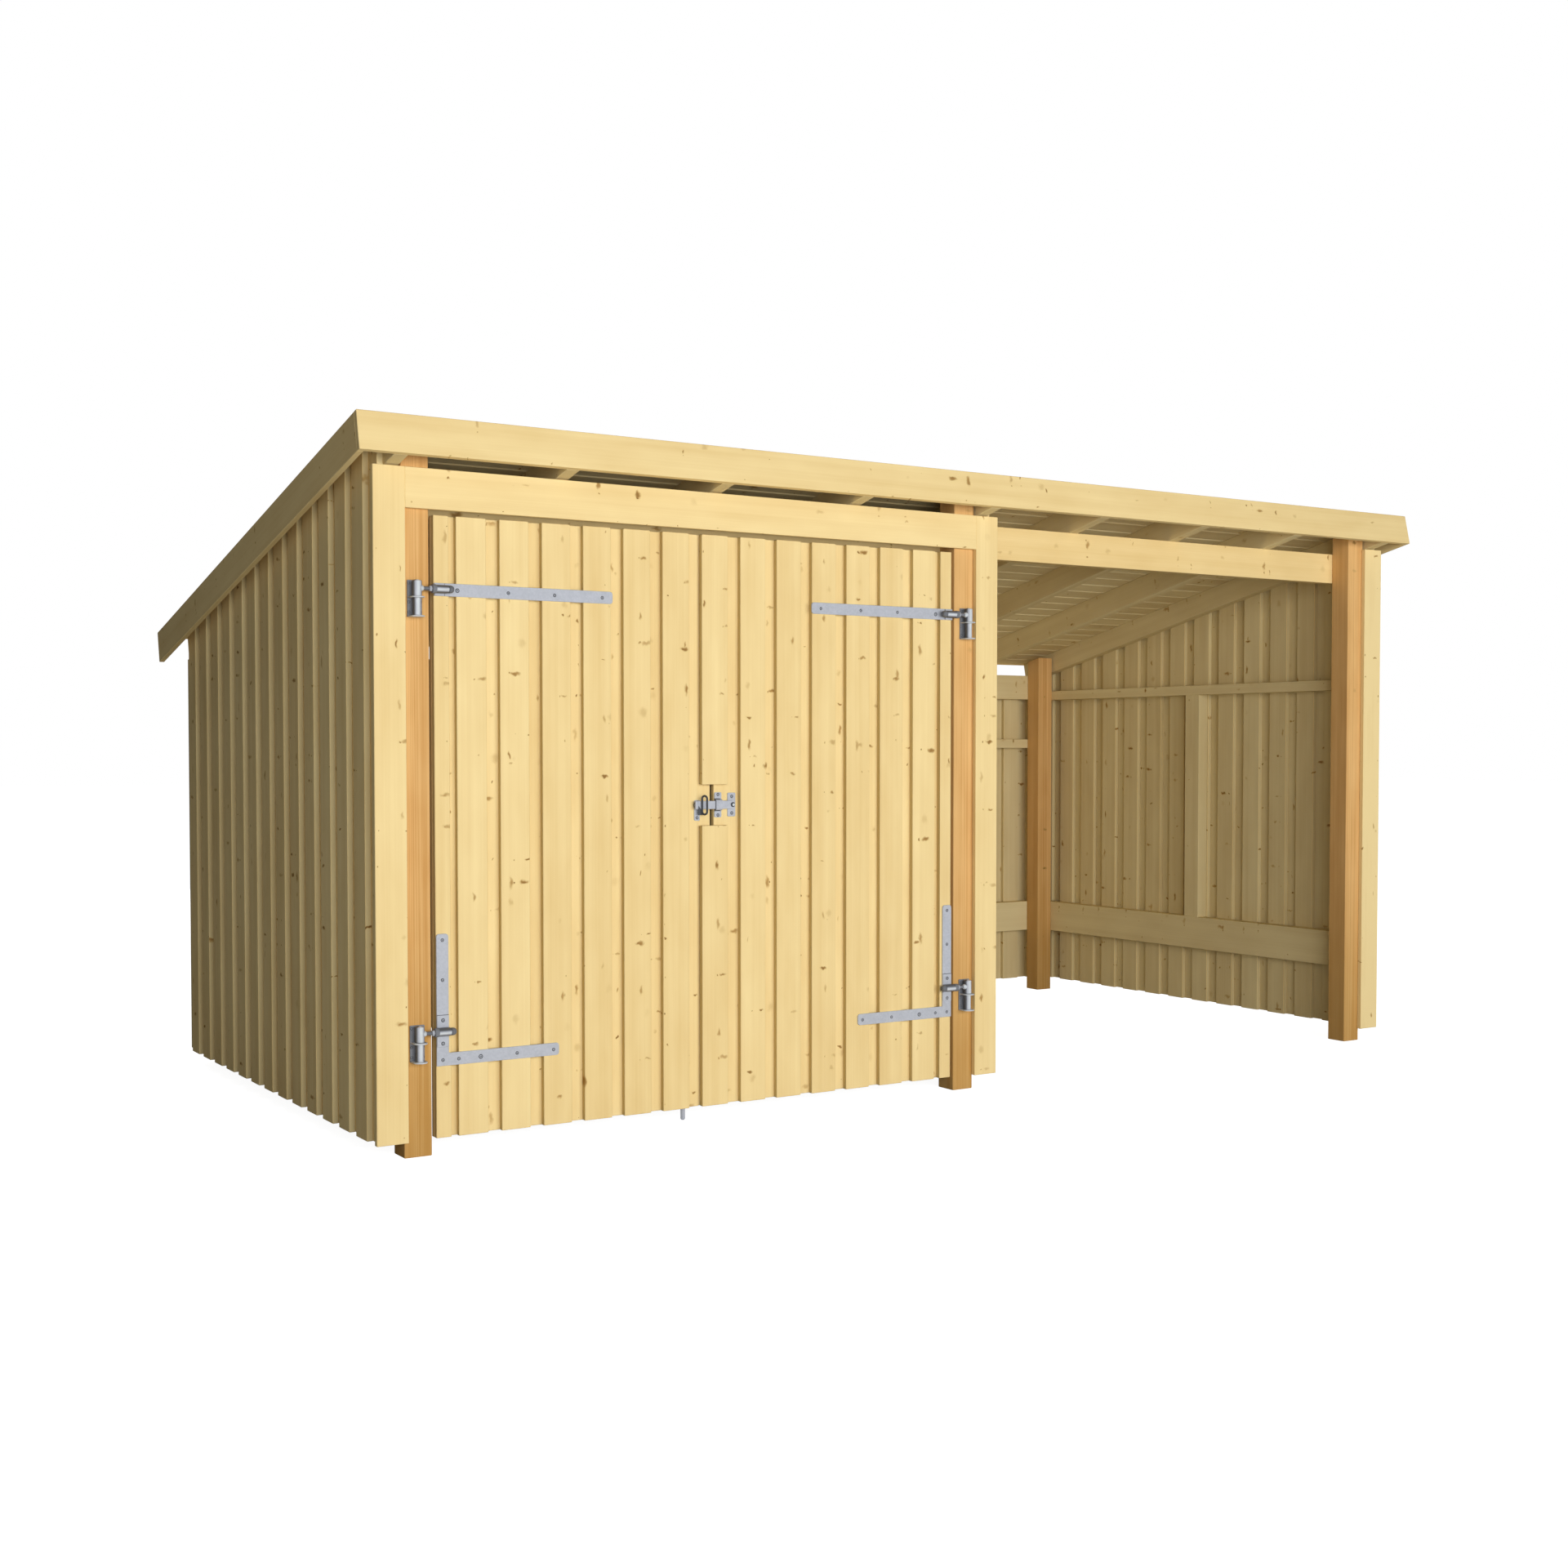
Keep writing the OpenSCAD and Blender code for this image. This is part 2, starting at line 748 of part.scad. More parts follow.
module drop_bolt_guides() {
  deep = 2 * (bolt_r + bolt_gap) + 2;
  color(zinc) in_frame() for (z = [door_z + guide_low, door_z + guide_low + guide_pitch]) difference() {
    at_bolt(z) translate([-guide_w / 2, -bolt_r - bolt_gap, 0]) cube([guide_w, deep, guide_h]);
    at_bolt(z - 1) cylinder(r = bolt_r + bolt_clear, h = guide_h + 2);
  }
}

post_front_left();
post_front_mid();
post_front_right();
post_back_left();
post_back_mid();
post_back_right();
front_beam();
back_beam();
door_header();
rafters();
roof_deck();
roof_felt();
front_fascia();
rear_fascia();
left_verge();
right_verge();
left_wall_frame();
left_wall_cladding();
right_wall_frame();
right_wall_cladding();
partition_frame();
partition_cladding();
back_wall_rails();
back_wall_cladding();
left_corner_board();
mid_trim_board();
right_corner_board();
left_door_boards();
left_door_ledges();
right_door_boards();
right_door_ledges();
door_cover_board();
left_door_bands();
right_door_bands();
left_hinge_brackets();
right_hinge_brackets();
latch_keeper();
latch_bar();
drop_bolt();
drop_bolt_guides();
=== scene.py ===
"""Looks of a garden shed with one closed and one open bay.

Every board is modelled by itself and set where the packed frame has it, and so are the
roof boards, the felt, the door bands, the latch and the drop bolt. All sizes are in metres.
"""

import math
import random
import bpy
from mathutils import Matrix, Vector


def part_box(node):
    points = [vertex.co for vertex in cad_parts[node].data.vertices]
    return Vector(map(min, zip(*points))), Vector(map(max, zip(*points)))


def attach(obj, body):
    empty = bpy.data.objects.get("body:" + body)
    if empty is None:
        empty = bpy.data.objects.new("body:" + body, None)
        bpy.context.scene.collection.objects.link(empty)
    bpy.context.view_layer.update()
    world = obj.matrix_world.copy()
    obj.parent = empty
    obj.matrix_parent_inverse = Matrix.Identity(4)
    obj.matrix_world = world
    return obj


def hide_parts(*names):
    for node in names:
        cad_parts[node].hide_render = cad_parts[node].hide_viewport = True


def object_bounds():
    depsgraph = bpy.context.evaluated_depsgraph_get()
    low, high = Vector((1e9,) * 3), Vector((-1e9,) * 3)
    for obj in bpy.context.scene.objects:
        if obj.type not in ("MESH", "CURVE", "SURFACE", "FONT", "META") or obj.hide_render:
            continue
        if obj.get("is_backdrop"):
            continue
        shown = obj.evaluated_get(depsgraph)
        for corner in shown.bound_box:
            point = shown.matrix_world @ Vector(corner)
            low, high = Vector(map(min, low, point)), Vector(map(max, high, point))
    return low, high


bl_info = {
    "name": "Garden Shed Looks",
    "version": (1, 0, 0),
    "blender": (4, 5, 0),
    "location": "View3D > Sidebar > Shed",
    "description": "Dresses the packed garden shed in boards, felt and galvanised fittings",
    "category": "Add Mesh",
}

import bmesh
import bpy
import numpy as np
from bpy.props import FloatProperty, FloatVectorProperty, IntProperty, PointerProperty
from mathutils import Vector

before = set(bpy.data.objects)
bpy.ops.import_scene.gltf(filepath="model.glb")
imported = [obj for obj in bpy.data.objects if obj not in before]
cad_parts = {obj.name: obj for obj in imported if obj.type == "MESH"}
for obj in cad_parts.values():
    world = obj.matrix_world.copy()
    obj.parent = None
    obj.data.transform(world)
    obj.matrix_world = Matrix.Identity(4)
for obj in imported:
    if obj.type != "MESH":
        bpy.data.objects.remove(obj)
CAD_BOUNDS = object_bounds()

X = Vector((1, 0, 0))
Y = Vector((0, 1, 0))
Z = Vector((0, 0, 1))

# Settings


def number(name, description, default, **limits):
    """A number that a user may change."""
    return FloatProperty(name=name, description=description, default=default, **limits)


def length(name, description, default):
    """A size in metres."""
    return number(name, description, default, min=0.0, unit="LENGTH")


def share(name, description, default):
    """A share from 0 to 1."""
    return number(name, description, default, min=0.0, max=1.0, subtype="FACTOR")


def angle(name, description, degrees):
    """An angle, given in degrees."""
    return number(name, description, math.radians(degrees), subtype="ANGLE")


def power(name, description, default):
    """A strength of light."""
    return number(name, description, default, min=0.0)


def triple(name, description, default, **limits):
    """Three numbers that a user may change."""
    return FloatVectorProperty(name=name, description=description, default=default, size=3, **limits)


def point(name, description, *default):
    """A point in metres."""
    return triple(name, description, default, subtype="TRANSLATION")


def colour(name, description, *screen):
    """A linear colour, from a screen colour of 0 to 255."""
    shares = [c / 255 for c in screen]
    default = [s / 12.92 if s < 0.04 else ((s + 0.055) / 1.055) ** 2.4 for s in shares]
    return triple(name, description, default, min=0.0, max=1.0, subtype="COLOR")


class ShedTimberSettings(bpy.types.PropertyGroup):
    """Boards and posts."""

    seed: IntProperty(name="Seed", description="Choice of grain and tone for every board", default=7)
    arris: length("Arris", "Softened edge of planed boards", 0.0016)
    post_arris: length("Post arris", "Softened edge of the posts", 0.0022)
    groove: length("Groove", "Half the width of the grooves between the roof boards", 0.0065)
    groove_deep: length("Groove depth", "Depth of the grooves between the roof boards", 0.0065)
    roof_board: length("Roof board", "Cover width of the roof boards", 0.096)
    rebate: length("Rebate", "Depth of the rebate of the left door behind the cover board", 0.005)
    # Painted light: the corner boards' tone is made paler so they show as brightly lit
    corner_painted_light: share("Painted light on corners", "How much paler the corner boards are", 0.8)
    pine_light: colour("Pale pine", "Early wood of the boards", 240, 216, 158)
    pine_dark: colour("Dark pine", "Late wood of the boards", 226, 197, 137)
    rough_light: colour("Pale rough pine", "Early wood where boards are left rough", 230, 213, 164)
    rough_dark: colour("Dark rough pine", "Late wood where boards are left rough", 214, 193, 143)
    heart_light: colour("Pale heartwood", "Early wood of the posts", 227, 183, 121)
    heart_dark: colour("Dark heartwood", "Late wood of the posts", 203, 152, 90)
    # Painted shade: colour that darkens the posts towards the ground
    painted_ground_shade: colour("Painted ground shade", "Posts near the ground", 150, 114, 42)
    painted_ground_shade_high: length("Damp height", "Height to which the posts are darker", 0.9)
    # Colour of stained edges and ends; on the door boards' sides it is also painted shade
    edge: colour("Edge", "Sawn edges and ends of the boards", 184, 162, 104)
    knot_rim: colour("Knot rim", "Rim of the knots", 180, 142, 84)
    knot: colour("Knot", "Heart of the knots", 102, 74, 40)


class ShedRoofSettings(bpy.types.PropertyGroup):
    """Roofing felt."""

    course: length("Course", "Width of felt that shows between two laps", 0.62)
    lap: length("Lap", "Width over which two courses lap", 0.08)
    rise_start: length("Rise start", "How far before a lap a course starts to rise", 0.01)
    rise_end: length("Rise end", "How far into a lap a course rises", 0.015)
    felt_thick: length("Felt", "Thickness of the felt", 0.0024)
    felt_dark: colour("Dark granules", "Dark granules of the felt", 66, 68, 70)
    felt_light: colour("Pale granules", "Pale granules of the felt", 132, 134, 136)


class ShedMetalSettings(bpy.types.PropertyGroup):
    """Galvanised fittings."""

    bevel: length("Bevel", "Softened edge of the plates", 0.0008)
    screw_radius: length("Screw", "Radius of the screw heads", 0.0044)
    thread_pitch: length("Thread", "Pitch of the thread on the adjusting rods", 0.002)
    band_wide: length("Band", "Width of the door bands", 0.040)
    band_thick: length("Band thickness", "Thickness of the door bands", 0.005)
    doubling: length("Doubling", "Thickness of the bands' second layer at the sleeves", 0.0022)
    angle_leg: length("Angle leg", "Length of the lying leg of the angle bands", 0.420)
    band_end: length("Band end", "Corner radius at the far end of a band", 0.010)
    eye_radius: length("Eye", "Radius of the hinge eyes", 0.015)
    eye_high: length("Eye height", "Height of the hinge eyes", 0.051)
    pin_radius: length("Pin", "Radius of the hinge pins", 0.008)
    bracket_thick: length("Bracket", "Thickness of the bracket plates", 0.005)
    collar_radius: length("Collar", "Radius of the bracket collars", 0.022)
    collar_thick: length("Collar thickness", "Thickness of the bracket collars", 0.004)
    collar_front: length("Collar front", "How far the collars stand in front of the pin", 0.006)
    latch_thick: length("Latch plate", "Thickness of the latch plates", 0.003)
    bolt_radius: length("Bolt", "Radius of the drop bolt", 0.008)
    guide_thick: length("Guide plate", "Thickness of the drop bolt's guide plates", 0.0022)
    zinc_light: colour("Bright zinc", "Bright crystals of the zinc", 184, 187, 195)
    zinc_dark: colour("Dull zinc", "Dull crystals of the zinc", 166, 170, 178)
    # Painted highlight: colour of the bright streaks painted on the fittings
    zinc_painted_highlight: colour("Painted zinc highlight", "Zinc where it is rubbed bright", 200, 206, 208)
    # Painted shade: colour of the shade painted on the fittings, on backs of turned parts, round screws
    # and on dark plates
    shadow: colour("Painted shade", "Dark patina in corners and round the screws", 52, 54, 58)


class ShedStageSettings(bpy.types.PropertyGroup):
    """Camera, floor and light."""

    eye: point("Eye", "Place of the camera", -4.233, -6.52585, 1.270)
    pitch: angle("Pitch", "Tilt of the camera below the horizon", 1.79)
    yaw: angle("Yaw", "Turn of the camera to the right", 32.46)
    lens: number("Lens", "Focal length in millimetres", 42.26)
    sensor: number("Sensor", "Width of the sensor in millimetres", 36.0)
    shift_x: number("Shift X", "Sideways shift of the frame", -0.0013)
    shift_y: number("Shift Y", "Upward shift of the frame", 0.0147)
    front: power("Front light", "Power of the wide front light in watts", 756.0)
    front_place: point("Front light place", "Middle of the wide front light", -0.6, -9.4, 1.8)
    front_wide: length("Front light width", "Width of the wide front light", 11.5)
    side: power("Side light", "Power of the light on the left wall in watts", 54.0)
    side_place: point("Side light place", "Middle of the light on the left wall", -4.6, -7.0, 2.2)
    side_wide: length("Side light width", "Width of the light on the left wall", 3.0)
    back: power("Back light", "Power of the light behind in watts", 620.0)
    back_place: point("Back light place", "Middle of the light behind", 3.4, 9.6, 2.6)
    back_wide: length("Back light width", "Width of the light behind", 11.0)
    light_high: length("Light height", "Height of the lights", 3.5)
    aim_high: length("Aim", "Height on the shed that the lights look at", 1.1)
    top: power("Top light", "Strength of the light from above", 0.35)
    top_spread: angle("Top light spread", "Spread of the light from above", 40)
    sky: power("Sky", "Strength of the light from all round", 0.03)
    floor_reach: length("Floor reach", "Half the width of the floor", 60.0)
    floor_tone: share("Floor", "How pale the floor is", 0.48)
    floor_shadow: share("Shadow", "How much of the shadow shows on the floor", 0.6)


SETTINGS = {
    "shed_timber": ShedTimberSettings,
    "shed_roof": ShedRoofSettings,
    "shed_metal": ShedMetalSettings,
    "shed_stage": ShedStageSettings,
}


def timber():
    """The timber settings of the scene."""
    return bpy.context.scene.shed_timber


def metal():
    """The metal settings of the scene."""
    return bpy.context.scene.shed_metal


# Reading the frame

SAME_PLACE = 0.0005
SAME_WAY = 0.999


def corners(node):
    """All corners of a CAD node."""
    return np.array([v.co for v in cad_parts[node].data.vertices], float)


def levels(node, axis):
    """Places along an axis at which a CAD node has corners, lowest first."""
    found = []
    for value in np.sort(corners(node) @ np.array(axis)):
        if not found or value - found[-1] > SAME_PLACE:
            found.append(float(value))
    return found


def spans(node, facing, along):
    """Stretches along an axis that a CAD node's outermost faces cover, for faces that look one way."""
    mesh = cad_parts[node].data
    faces = [p for p in mesh.polygons if p.normal.dot(facing) > SAME_WAY]
    outermost = max(p.center.dot(facing) for p in faces)
    found = []
    for face in faces:
        if outermost - face.center.dot(facing) < SAME_PLACE:
            places = [mesh.vertices[i].co.dot(along) for i in face.vertices]
            found.append((min(places), max(places)))
    merged = []
    for low, high in sorted(found):
        if merged and low < merged[-1][1] + SAME_PLACE:
            merged[-1][1] = max(merged[-1][1], high)
        else:
            merged.append([low, high])
    return merged


def roof_axes():
    """Down the slope and square to the roof, from the felt's upper face."""
    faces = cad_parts["roof_felt"].data.polygons
    square = max(faces, key=lambda p: p.normal.z * p.area).normal.copy()
    return Vector((0, square.z, -square.y)), square


DOWN, SQUARE = roof_axes()
FALL = SQUARE.y / SQUARE.z


def slope_box(node):
    """Low and high corner of a CAD node along X, down the slope and square to the roof."""
    turned = corners(node) @ np.array([X, DOWN, SQUARE]).T
    return Vector(turned.min(0)), Vector(turned.max(0))


def on_slope(x, down, square):
    """The point at a place along X, down the slope and square to the roof."""
    return X * x + DOWN * down + SQUARE * square


# Shapes

SHARPEST = 0.4
THINNEST = 0.00001
# Least tone round a turned part: the painted shade on its back
PAINTED_BACK_SHADE = 0.1


def show(name, data):
    """A new object in the scene."""
    made = bpy.data.objects.new(name, data)
    bpy.context.scene.collection.objects.link(made)
    return made


class Shape:
    """Points and faces of one piece, gathered part by part, with their grain and tone."""

    def __init__(self, name):
        self.name = name
        self.random = random.Random(f"{timber().seed} {name}")
        self.points = []
        self.faces = []
        self.grain = []
        self.tone = []
        self.sawn = []
        self.rough = []

    def add(self, points, faces, grain=None, tone=0.5, sawn=None, rough=None):
        """Adds one closed part, with one tone or a tone for each point. Its grain follows its
        points where none is given."""
        start = len(self.points)
        self.points += [tuple(p) for p in points]
        self.faces += [[start + i for i in face] for face in faces]
        self.grain += [tuple(g) for g in (grain or points)]
        self.tone += tone if isinstance(tone, list) else [tone] * len(points)
        self.sawn += sawn or [0.0] * len(faces)
        self.rough += rough or [0.0] * len(faces)

    def rings(self, rows, closed=False, **looks):
        """Skins rows of points that run round a part, with caps unless the rows close on themselves."""
        count = len(rows[0])
        last = len(rows) if closed else len(rows) - 1
        faces = []
        for r in range(last):
            low = r * count
            high = (r + 1) % len(rows) * count
            for i in range(count):
                j = (i + 1) % count
                faces.append((low + i, low + j, high + j, high + i))
        if not closed:
            faces.append(tuple(range(count)))
            faces.append(tuple(range(last * count, len(rows) * count)))
        self.add([p for row in rows for p in row], faces, **looks)

    def piece(self, finish, body, slot, node, smooth=False):
        """Makes the piece, which rides on a body and stands for a CAD node."""
        mesh = bpy.data.meshes.new(self.name)
        mesh.from_pydata(self.points, [], self.faces)
        for name, kind, domain, field, values in (
            ("grain", "FLOAT_VECTOR", "POINT", "vector", self.grain),
            ("tone", "FLOAT", "POINT", "value", self.tone),
            ("sawn", "FLOAT", "FACE", "value", self.sawn),
            ("rough", "FLOAT", "FACE", "value", self.rough),
        ):
            layer = mesh.attributes.new(name, kind, domain)
            layer.data.foreach_set(field, np.array(values, np.float32).ravel())
        work = bmesh.new()
        work.from_mesh(mesh)
        bmesh.ops.recalc_face_normals(work, faces=work.faces)
        work.to_mesh(mesh)
        work.free()
        if smooth:
            mesh.shade_smooth()
            mesh.set_sharp_from_angle(angle=math.radians(38))
        mesh.materials.append(finish)
        made = show(self.name, mesh)
        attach(made, body)
        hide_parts(node)


def eight_sided(wide, thick, arris, inset, groove):
    """Section of a board with softened arrises, drawn in by an inset. A groove cuts deeper into
    those of its first face."""
    low, right, top = inset, wide - inset, thick - inset
    across, deep = max(arris, groove[0]), max(arris, groove[1])
    return [
        (low + across, low),
        (right - across, low),
        (right, low + deep),
        (right, top - arris),
        (right - arris, top),
        (low + arris, top),
        (low, top - arris),
        (low, low + deep),
    ]


# Faces of the eight-sided section
SECOND_FACE = (4,)
SIDES = (2, 6)
FIRST_FACE_AND_SIDES = (0, *SIDES)
ALL_FACES = tuple(range(8))

# Axes across, through and along a board
UPRIGHT = (X, Y, Z)
LYING = (Z, Y, X)

FLAT = (0.0, 0.0)
# Share of edge colour on the sides: stained on most boards, and on the door boards stained with painted
# shade in the laps
SIDE_STAIN = 0.15
DOOR_STAIN_AND_SHADE = 0.75
END_ARRIS = 0.4
END_INSET = 0.8
PITH_ACROSS = (0.15, 0.85)
PITH_DEEP = (0.03, 0.11)
GRAIN_START = (0, 90)


class Timber(Shape):
    """Boards of one piece, each with its own stretch of grain and its own tone."""

    def board(self, base, axes, size, arris=None, head=FLAT, foot=FLAT, groove=FLAT,
              stain=SIDE_STAIN, rough=(), pale=0.0):
        """A board from a base corner. The axes run across, through and along it, and size is its
        width, thickness and length. Head and foot tilt its ends by a rise per metre across and
        through. Its sides and ends, as left by the saw, are stained, and on the door boards darkened
        further with painted shade; its rough faces aren't planed, and its tone is that much paler
        than chance gives, which on the corner boards is painted light."""
        across, through, along = axes
        wide, thick, long = size
        arris = timber().arris if arris is None else arris
        pith_u = wide * self.random.uniform(*PITH_ACROSS)
        pith_v = self.random.choice((-1, 1)) * self.random.uniform(*PITH_DEEP)
        start = self.random.uniform(*GRAIN_START)
        full = eight_sided(wide, thick, arris, 0.0, groove)
        drawn = eight_sided(wide, thick, arris * END_ARRIS, arris * END_INSET, groove)
        sections = (
            (drawn, foot, 0.0),
            (full, foot, arris),
            (full, head, long - arris),
            (drawn, head, long),
        )
        rows = []
        grain = []
        for outline, end, reach in sections:
            row = []
            for u, v in outline:
                rise = reach + end[0] * u + end[1] * v
                row.append(base + across * u + through * v + along * rise)
                grain.append((u - pith_u, rise + start, v - pith_v))
            rows.append(row)
        strips = len(rows) - 1
        sawn = [stain if i in SIDES else 0.0 for i in ALL_FACES] * strips + [stain, stain]
        unplaned = [float(i in rough) for i in ALL_FACES] * strips + [0.0, 0.0]
        # Painted light where a paler tone is asked, as on the corner boards
        tone = self.random.random() - pale
        self.rings(rows, grain=grain, tone=tone, sawn=sawn, rough=unplaned)

    def fill(self, low, high, axes, **looks):
        """A board between two corners of a box along the axes."""
        size = high - low
        self.board(low, axes, [size.dot(axis) for axis in axes], **looks)

    def pair(self, node, axes, **looks):
        """The lower and the upper board of a CAD node."""
        low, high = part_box(node)
        heights = levels(node, Z)
        for bottom, top in (heights[0:2], heights[2:4]):
            self.fill(Vector((low.x, low.y, bottom)), Vector((high.x, high.y, top)), axes, **looks)


def circle(sides):
    """Cosine and sine of each step round a circle."""
    steps = [2 * math.pi * i / sides for i in range(sides)]
    return [(math.cos(t), math.sin(t)) for t in steps]


def lathe(shape, at, profile, sides=28, front=None, streak=1.0, **looks):
    """A turned part: the profile's radii and heights go round the third axis of a place, with flat
    ends unless they come to a point. Where an angle is given as its front, a painted highlight
    runs down that side, narrower as the streak grows, with painted shade behind."""
    profile = list(profile)
    if profile[0][0] > 0:
        profile.insert(0, (0.0, profile[0][1]))
    if profile[-1][0] > 0:
        profile.append((0.0, profile[-1][1]))
    # Painted highlight towards the front and painted shade behind, as tone round the part
    if front is not None:
        cos, sin = math.cos(math.radians(front)), math.sin(math.radians(front))
        facing = [max(0.0, a * cos + b * sin) for a, b in circle(sides)]
        looks["tone"] = [PAINTED_BACK_SHADE + (1 - PAINTED_BACK_SHADE) * f**streak for f in facing] * len(profile)
    rows = []
    for radius, height in profile:
        r = max(radius, THINNEST)
        rows.append([at(r * a, r * b, height) for a, b in circle(sides)])
    shape.rings(rows, **looks)


def drawn_in(outline, inset):
    """An outline moved inwards by an inset, corner by corner."""
    area = sum(a[0] * b[1] - b[0] * a[1] for a, b in zip(outline, outline[1:] + outline[:1]))
    side = 1 if area > 0 else -1
    moved = []
    for before, here, after in zip(outline[-1:] + outline[:-1], outline, outline[1:] + outline[:1]):
        one = Vector((here[0] - before[0], here[1] - before[1])).normalized()
        two = Vector((after[0] - here[0], after[1] - here[1])).normalized()
        inward = Vector((-one.y - two.y, one.x + two.x)) * side
        step = inset * 2 / max(inward.length_squared, SHARPEST)
        moved.append((here[0] + inward.x * step, here[1] + inward.y * step))
    return moved


def plate(shape, at, outline, thick, bevel=None, **looks):
    """A flat part with softened front edges: an outline in the first two axes of a place, from 0 to
    its thickness."""
    bevel = metal().bevel if bevel is None else bevel
    inner = drawn_in(outline, bevel)
    rows = [
        [at(a, b, 0.0) for a, b in outline],
        [at(a, b, thick - bevel) for a, b in outline],
        [at(a, b, thick) for a, b in inner],
    ]
    shape.rings(rows, **looks)


def rounded(low, high, radius, steps=5):
    """A rectangle between two corners, with a radius for each corner from the low one round to the
    left upper one."""
    (x0, y0), (x1, y1) = low, high
    radii = radius if isinstance(radius, tuple) else [radius] * 4
    centres = [(x0, y0, 1, 1, 180), (x1, y0, -1, 1, 270), (x1, y1, -1, -1, 0), (x0, y1, 1, -1, 90)]
    points = []
    for (x, y, in_x, in_y, start), r in zip(centres, radii):
        if r == 0:
            points.append((x, y))
            continue
        for i in range(steps + 1):
            t = math.radians(start + 90 * i / steps)
            points.append((x + in_x * r + r * math.cos(t), y + in_y * r + r * math.sin(t)))
    return points


def shifted(at, first=0.0, second=0.0, third=0.0):
    """A place moved along its axes."""
    return lambda a, b, c: at(first + a, second + b, third + c)


def outside(at, y, x=0.0, z=0.0):
    """A place on an upright face, with its third axis to the front."""
    return lambda a, b, c: at(x + a, y - c, z + b)


def tube(shape, path, radius, sides=12, **looks):
    """A round wire along a closed path in one plane."""
    middle = sum(path, Vector()) / len(path)
    normal = (path[0] - middle).cross(path[1] - middle).normalized()
    rows = []
    for before, here, after in zip(path[-1:] + path[:-1], path, path[1:] + path[:1]):
        out = (after - before).cross(normal).normalized()
        rows.append([here + (out * a + normal * b) * radius for a, b in circle(sides)])
    shape.rings(rows, closed=True, **looks)


def screw(shape, at, r):
    """A screw of a radius with a cross slot in a rim, both dark with painted shade, on the third axis
    of a place.
    """
    rim = [(1.3 * r, 0.0), (1.25 * r, 0.0003), (0.0, 0.0004)]
    head = [(0.8 * r, 0.0), (0.8 * r, 0.0006), (0.65 * r, 0.0014), (0.0, 0.0018)]
    # Painted shade: the dark rim round the head
    lathe(shape, at, rim, sides=20, tone=0.08)
    lathe(shape, at, head, sides=20, tone=0.45)
    # Painted shade: the dark cross slot
    for wide, high in ((0.12 * r, 0.55 * r), (0.55 * r, 0.12 * r)):
        slot = rounded((-wide, -high), (wide, high), 0)
        plate(shape, shifted(at, third=0.0012), slot, 0.0007, bevel=0.00002, tone=0.0)


# Finishes


def add_node(tree, kind, sockets=None, **settings):
    """A shader node with its settings, and its sockets linked or set."""
    made = tree.nodes.new(kind)
    for name, value in settings.items():
        setattr(made, name, value)
    for name, value in (sockets or {}).items():
        if isinstance(value, bpy.types.NodeSocket):
            tree.links.new(value, made.inputs[name])
        else:
            made.inputs[name].default_value = value
    return made


def calc(tree, operation, one, two=0.0, three=0.0):
    """The result of a sum on up to three values."""
    return add_node(tree, "ShaderNodeMath", {0: one, 1: two, 2: three}, operation=operation).outputs[0]


def blend(tree, amount, one, two):
    """A colour between two colours, each a socket or a setting."""
    sockets = {0: amount}
    for name, value in ((6, one), (7, two)):
        sockets[name] = value if isinstance(value, bpy.types.NodeSocket) else (*value, 1)
    return add_node(tree, "ShaderNodeMix", sockets, data_type="RGBA").outputs[2]


def stretched(tree, vector, *scale):
    """Coordinates scaled along each axis."""
    return add_node(tree, "ShaderNodeMapping", {"Vector": vector, "Scale": scale}).outputs[0]


def noise(tree, vector, detail, roughness=0.5, output="Fac"):
    """Soft noise on coordinates that are already scaled."""
    sockets = {"Vector": vector, "Scale": 1.0, "Detail": detail, "Roughness": roughness}
    return add_node(tree, "ShaderNodeTexNoise", sockets).outputs[output]


def speckles(tree, vector, scale):
    """Cells with a grey each: the grey, and the distance from the cell's middle."""
    cell = add_node(tree, "ShaderNodeTexVoronoi", {"Vector": vector, "Scale": scale}).outputs
    grey = add_node(tree, "ShaderNodeSeparateColor", {"Color": cell["Color"]}).outputs[0]
    return grey, cell["Distance"]


def faded(tree, value, low, high, first=1.0, last=0.0):
    """A smooth step from a first result at the low value to a last one at the high value."""
    sockets = {"Value": value, "From Min": low, "From Max": high, "To Min": first, "To Max": last}
    return add_node(tree, "ShaderNodeMapRange", sockets, interpolation_type="SMOOTHSTEP").outputs[0]


def stored(tree, name, output="Fac"):
    """What a piece stores under a name."""
    return add_node(tree, "ShaderNodeAttribute", attribute_name=name).outputs[output]


def own_place(tree):
    """Coordinates of the piece itself."""
    return add_node(tree, "ShaderNodeTexCoord").outputs["Object"]


def bumped(tree, shader, height, strength, distance):
    """Raises a shader's surface by a height."""
    sockets = {"Strength": strength, "Distance": distance, "Height": height}
    tree.links.new(add_node(tree, "ShaderNodeBump", sockets).outputs[0], shader.inputs["Normal"])


def bare_tree(owner):
    """The emptied node tree of a material or world."""
    owner.use_nodes = True
    owner.node_tree.nodes.clear()
    return owner.node_tree


def new_finish(name):
    """A material with its node tree and its shader."""
    made = bpy.data.materials.new(name)
    tree = bare_tree(made)
    shader = add_node(tree, "ShaderNodeBsdfPrincipled")
    add_node(tree, "ShaderNodeOutputMaterial", {"Surface": shader.outputs[0]})
    return made, tree, shader


KNOTS = (
    # cell across and along the board, size within the cell, share of cells, depth of colour
    ((0.240, 0.110), 0.085, 0.42, 0.70),
    ((0.085, 0.110), 0.050, 0.36, 0.85),
    ((0.090, 0.260), 0.096, 0.26, 0.65),
    ((0.200, 0.240), 0.090, 0.50, 0.28),
)
KNOT_SMALLEST = 0.35
KNOT_PALEST = 0.4
KNOT_CORE = 0.15


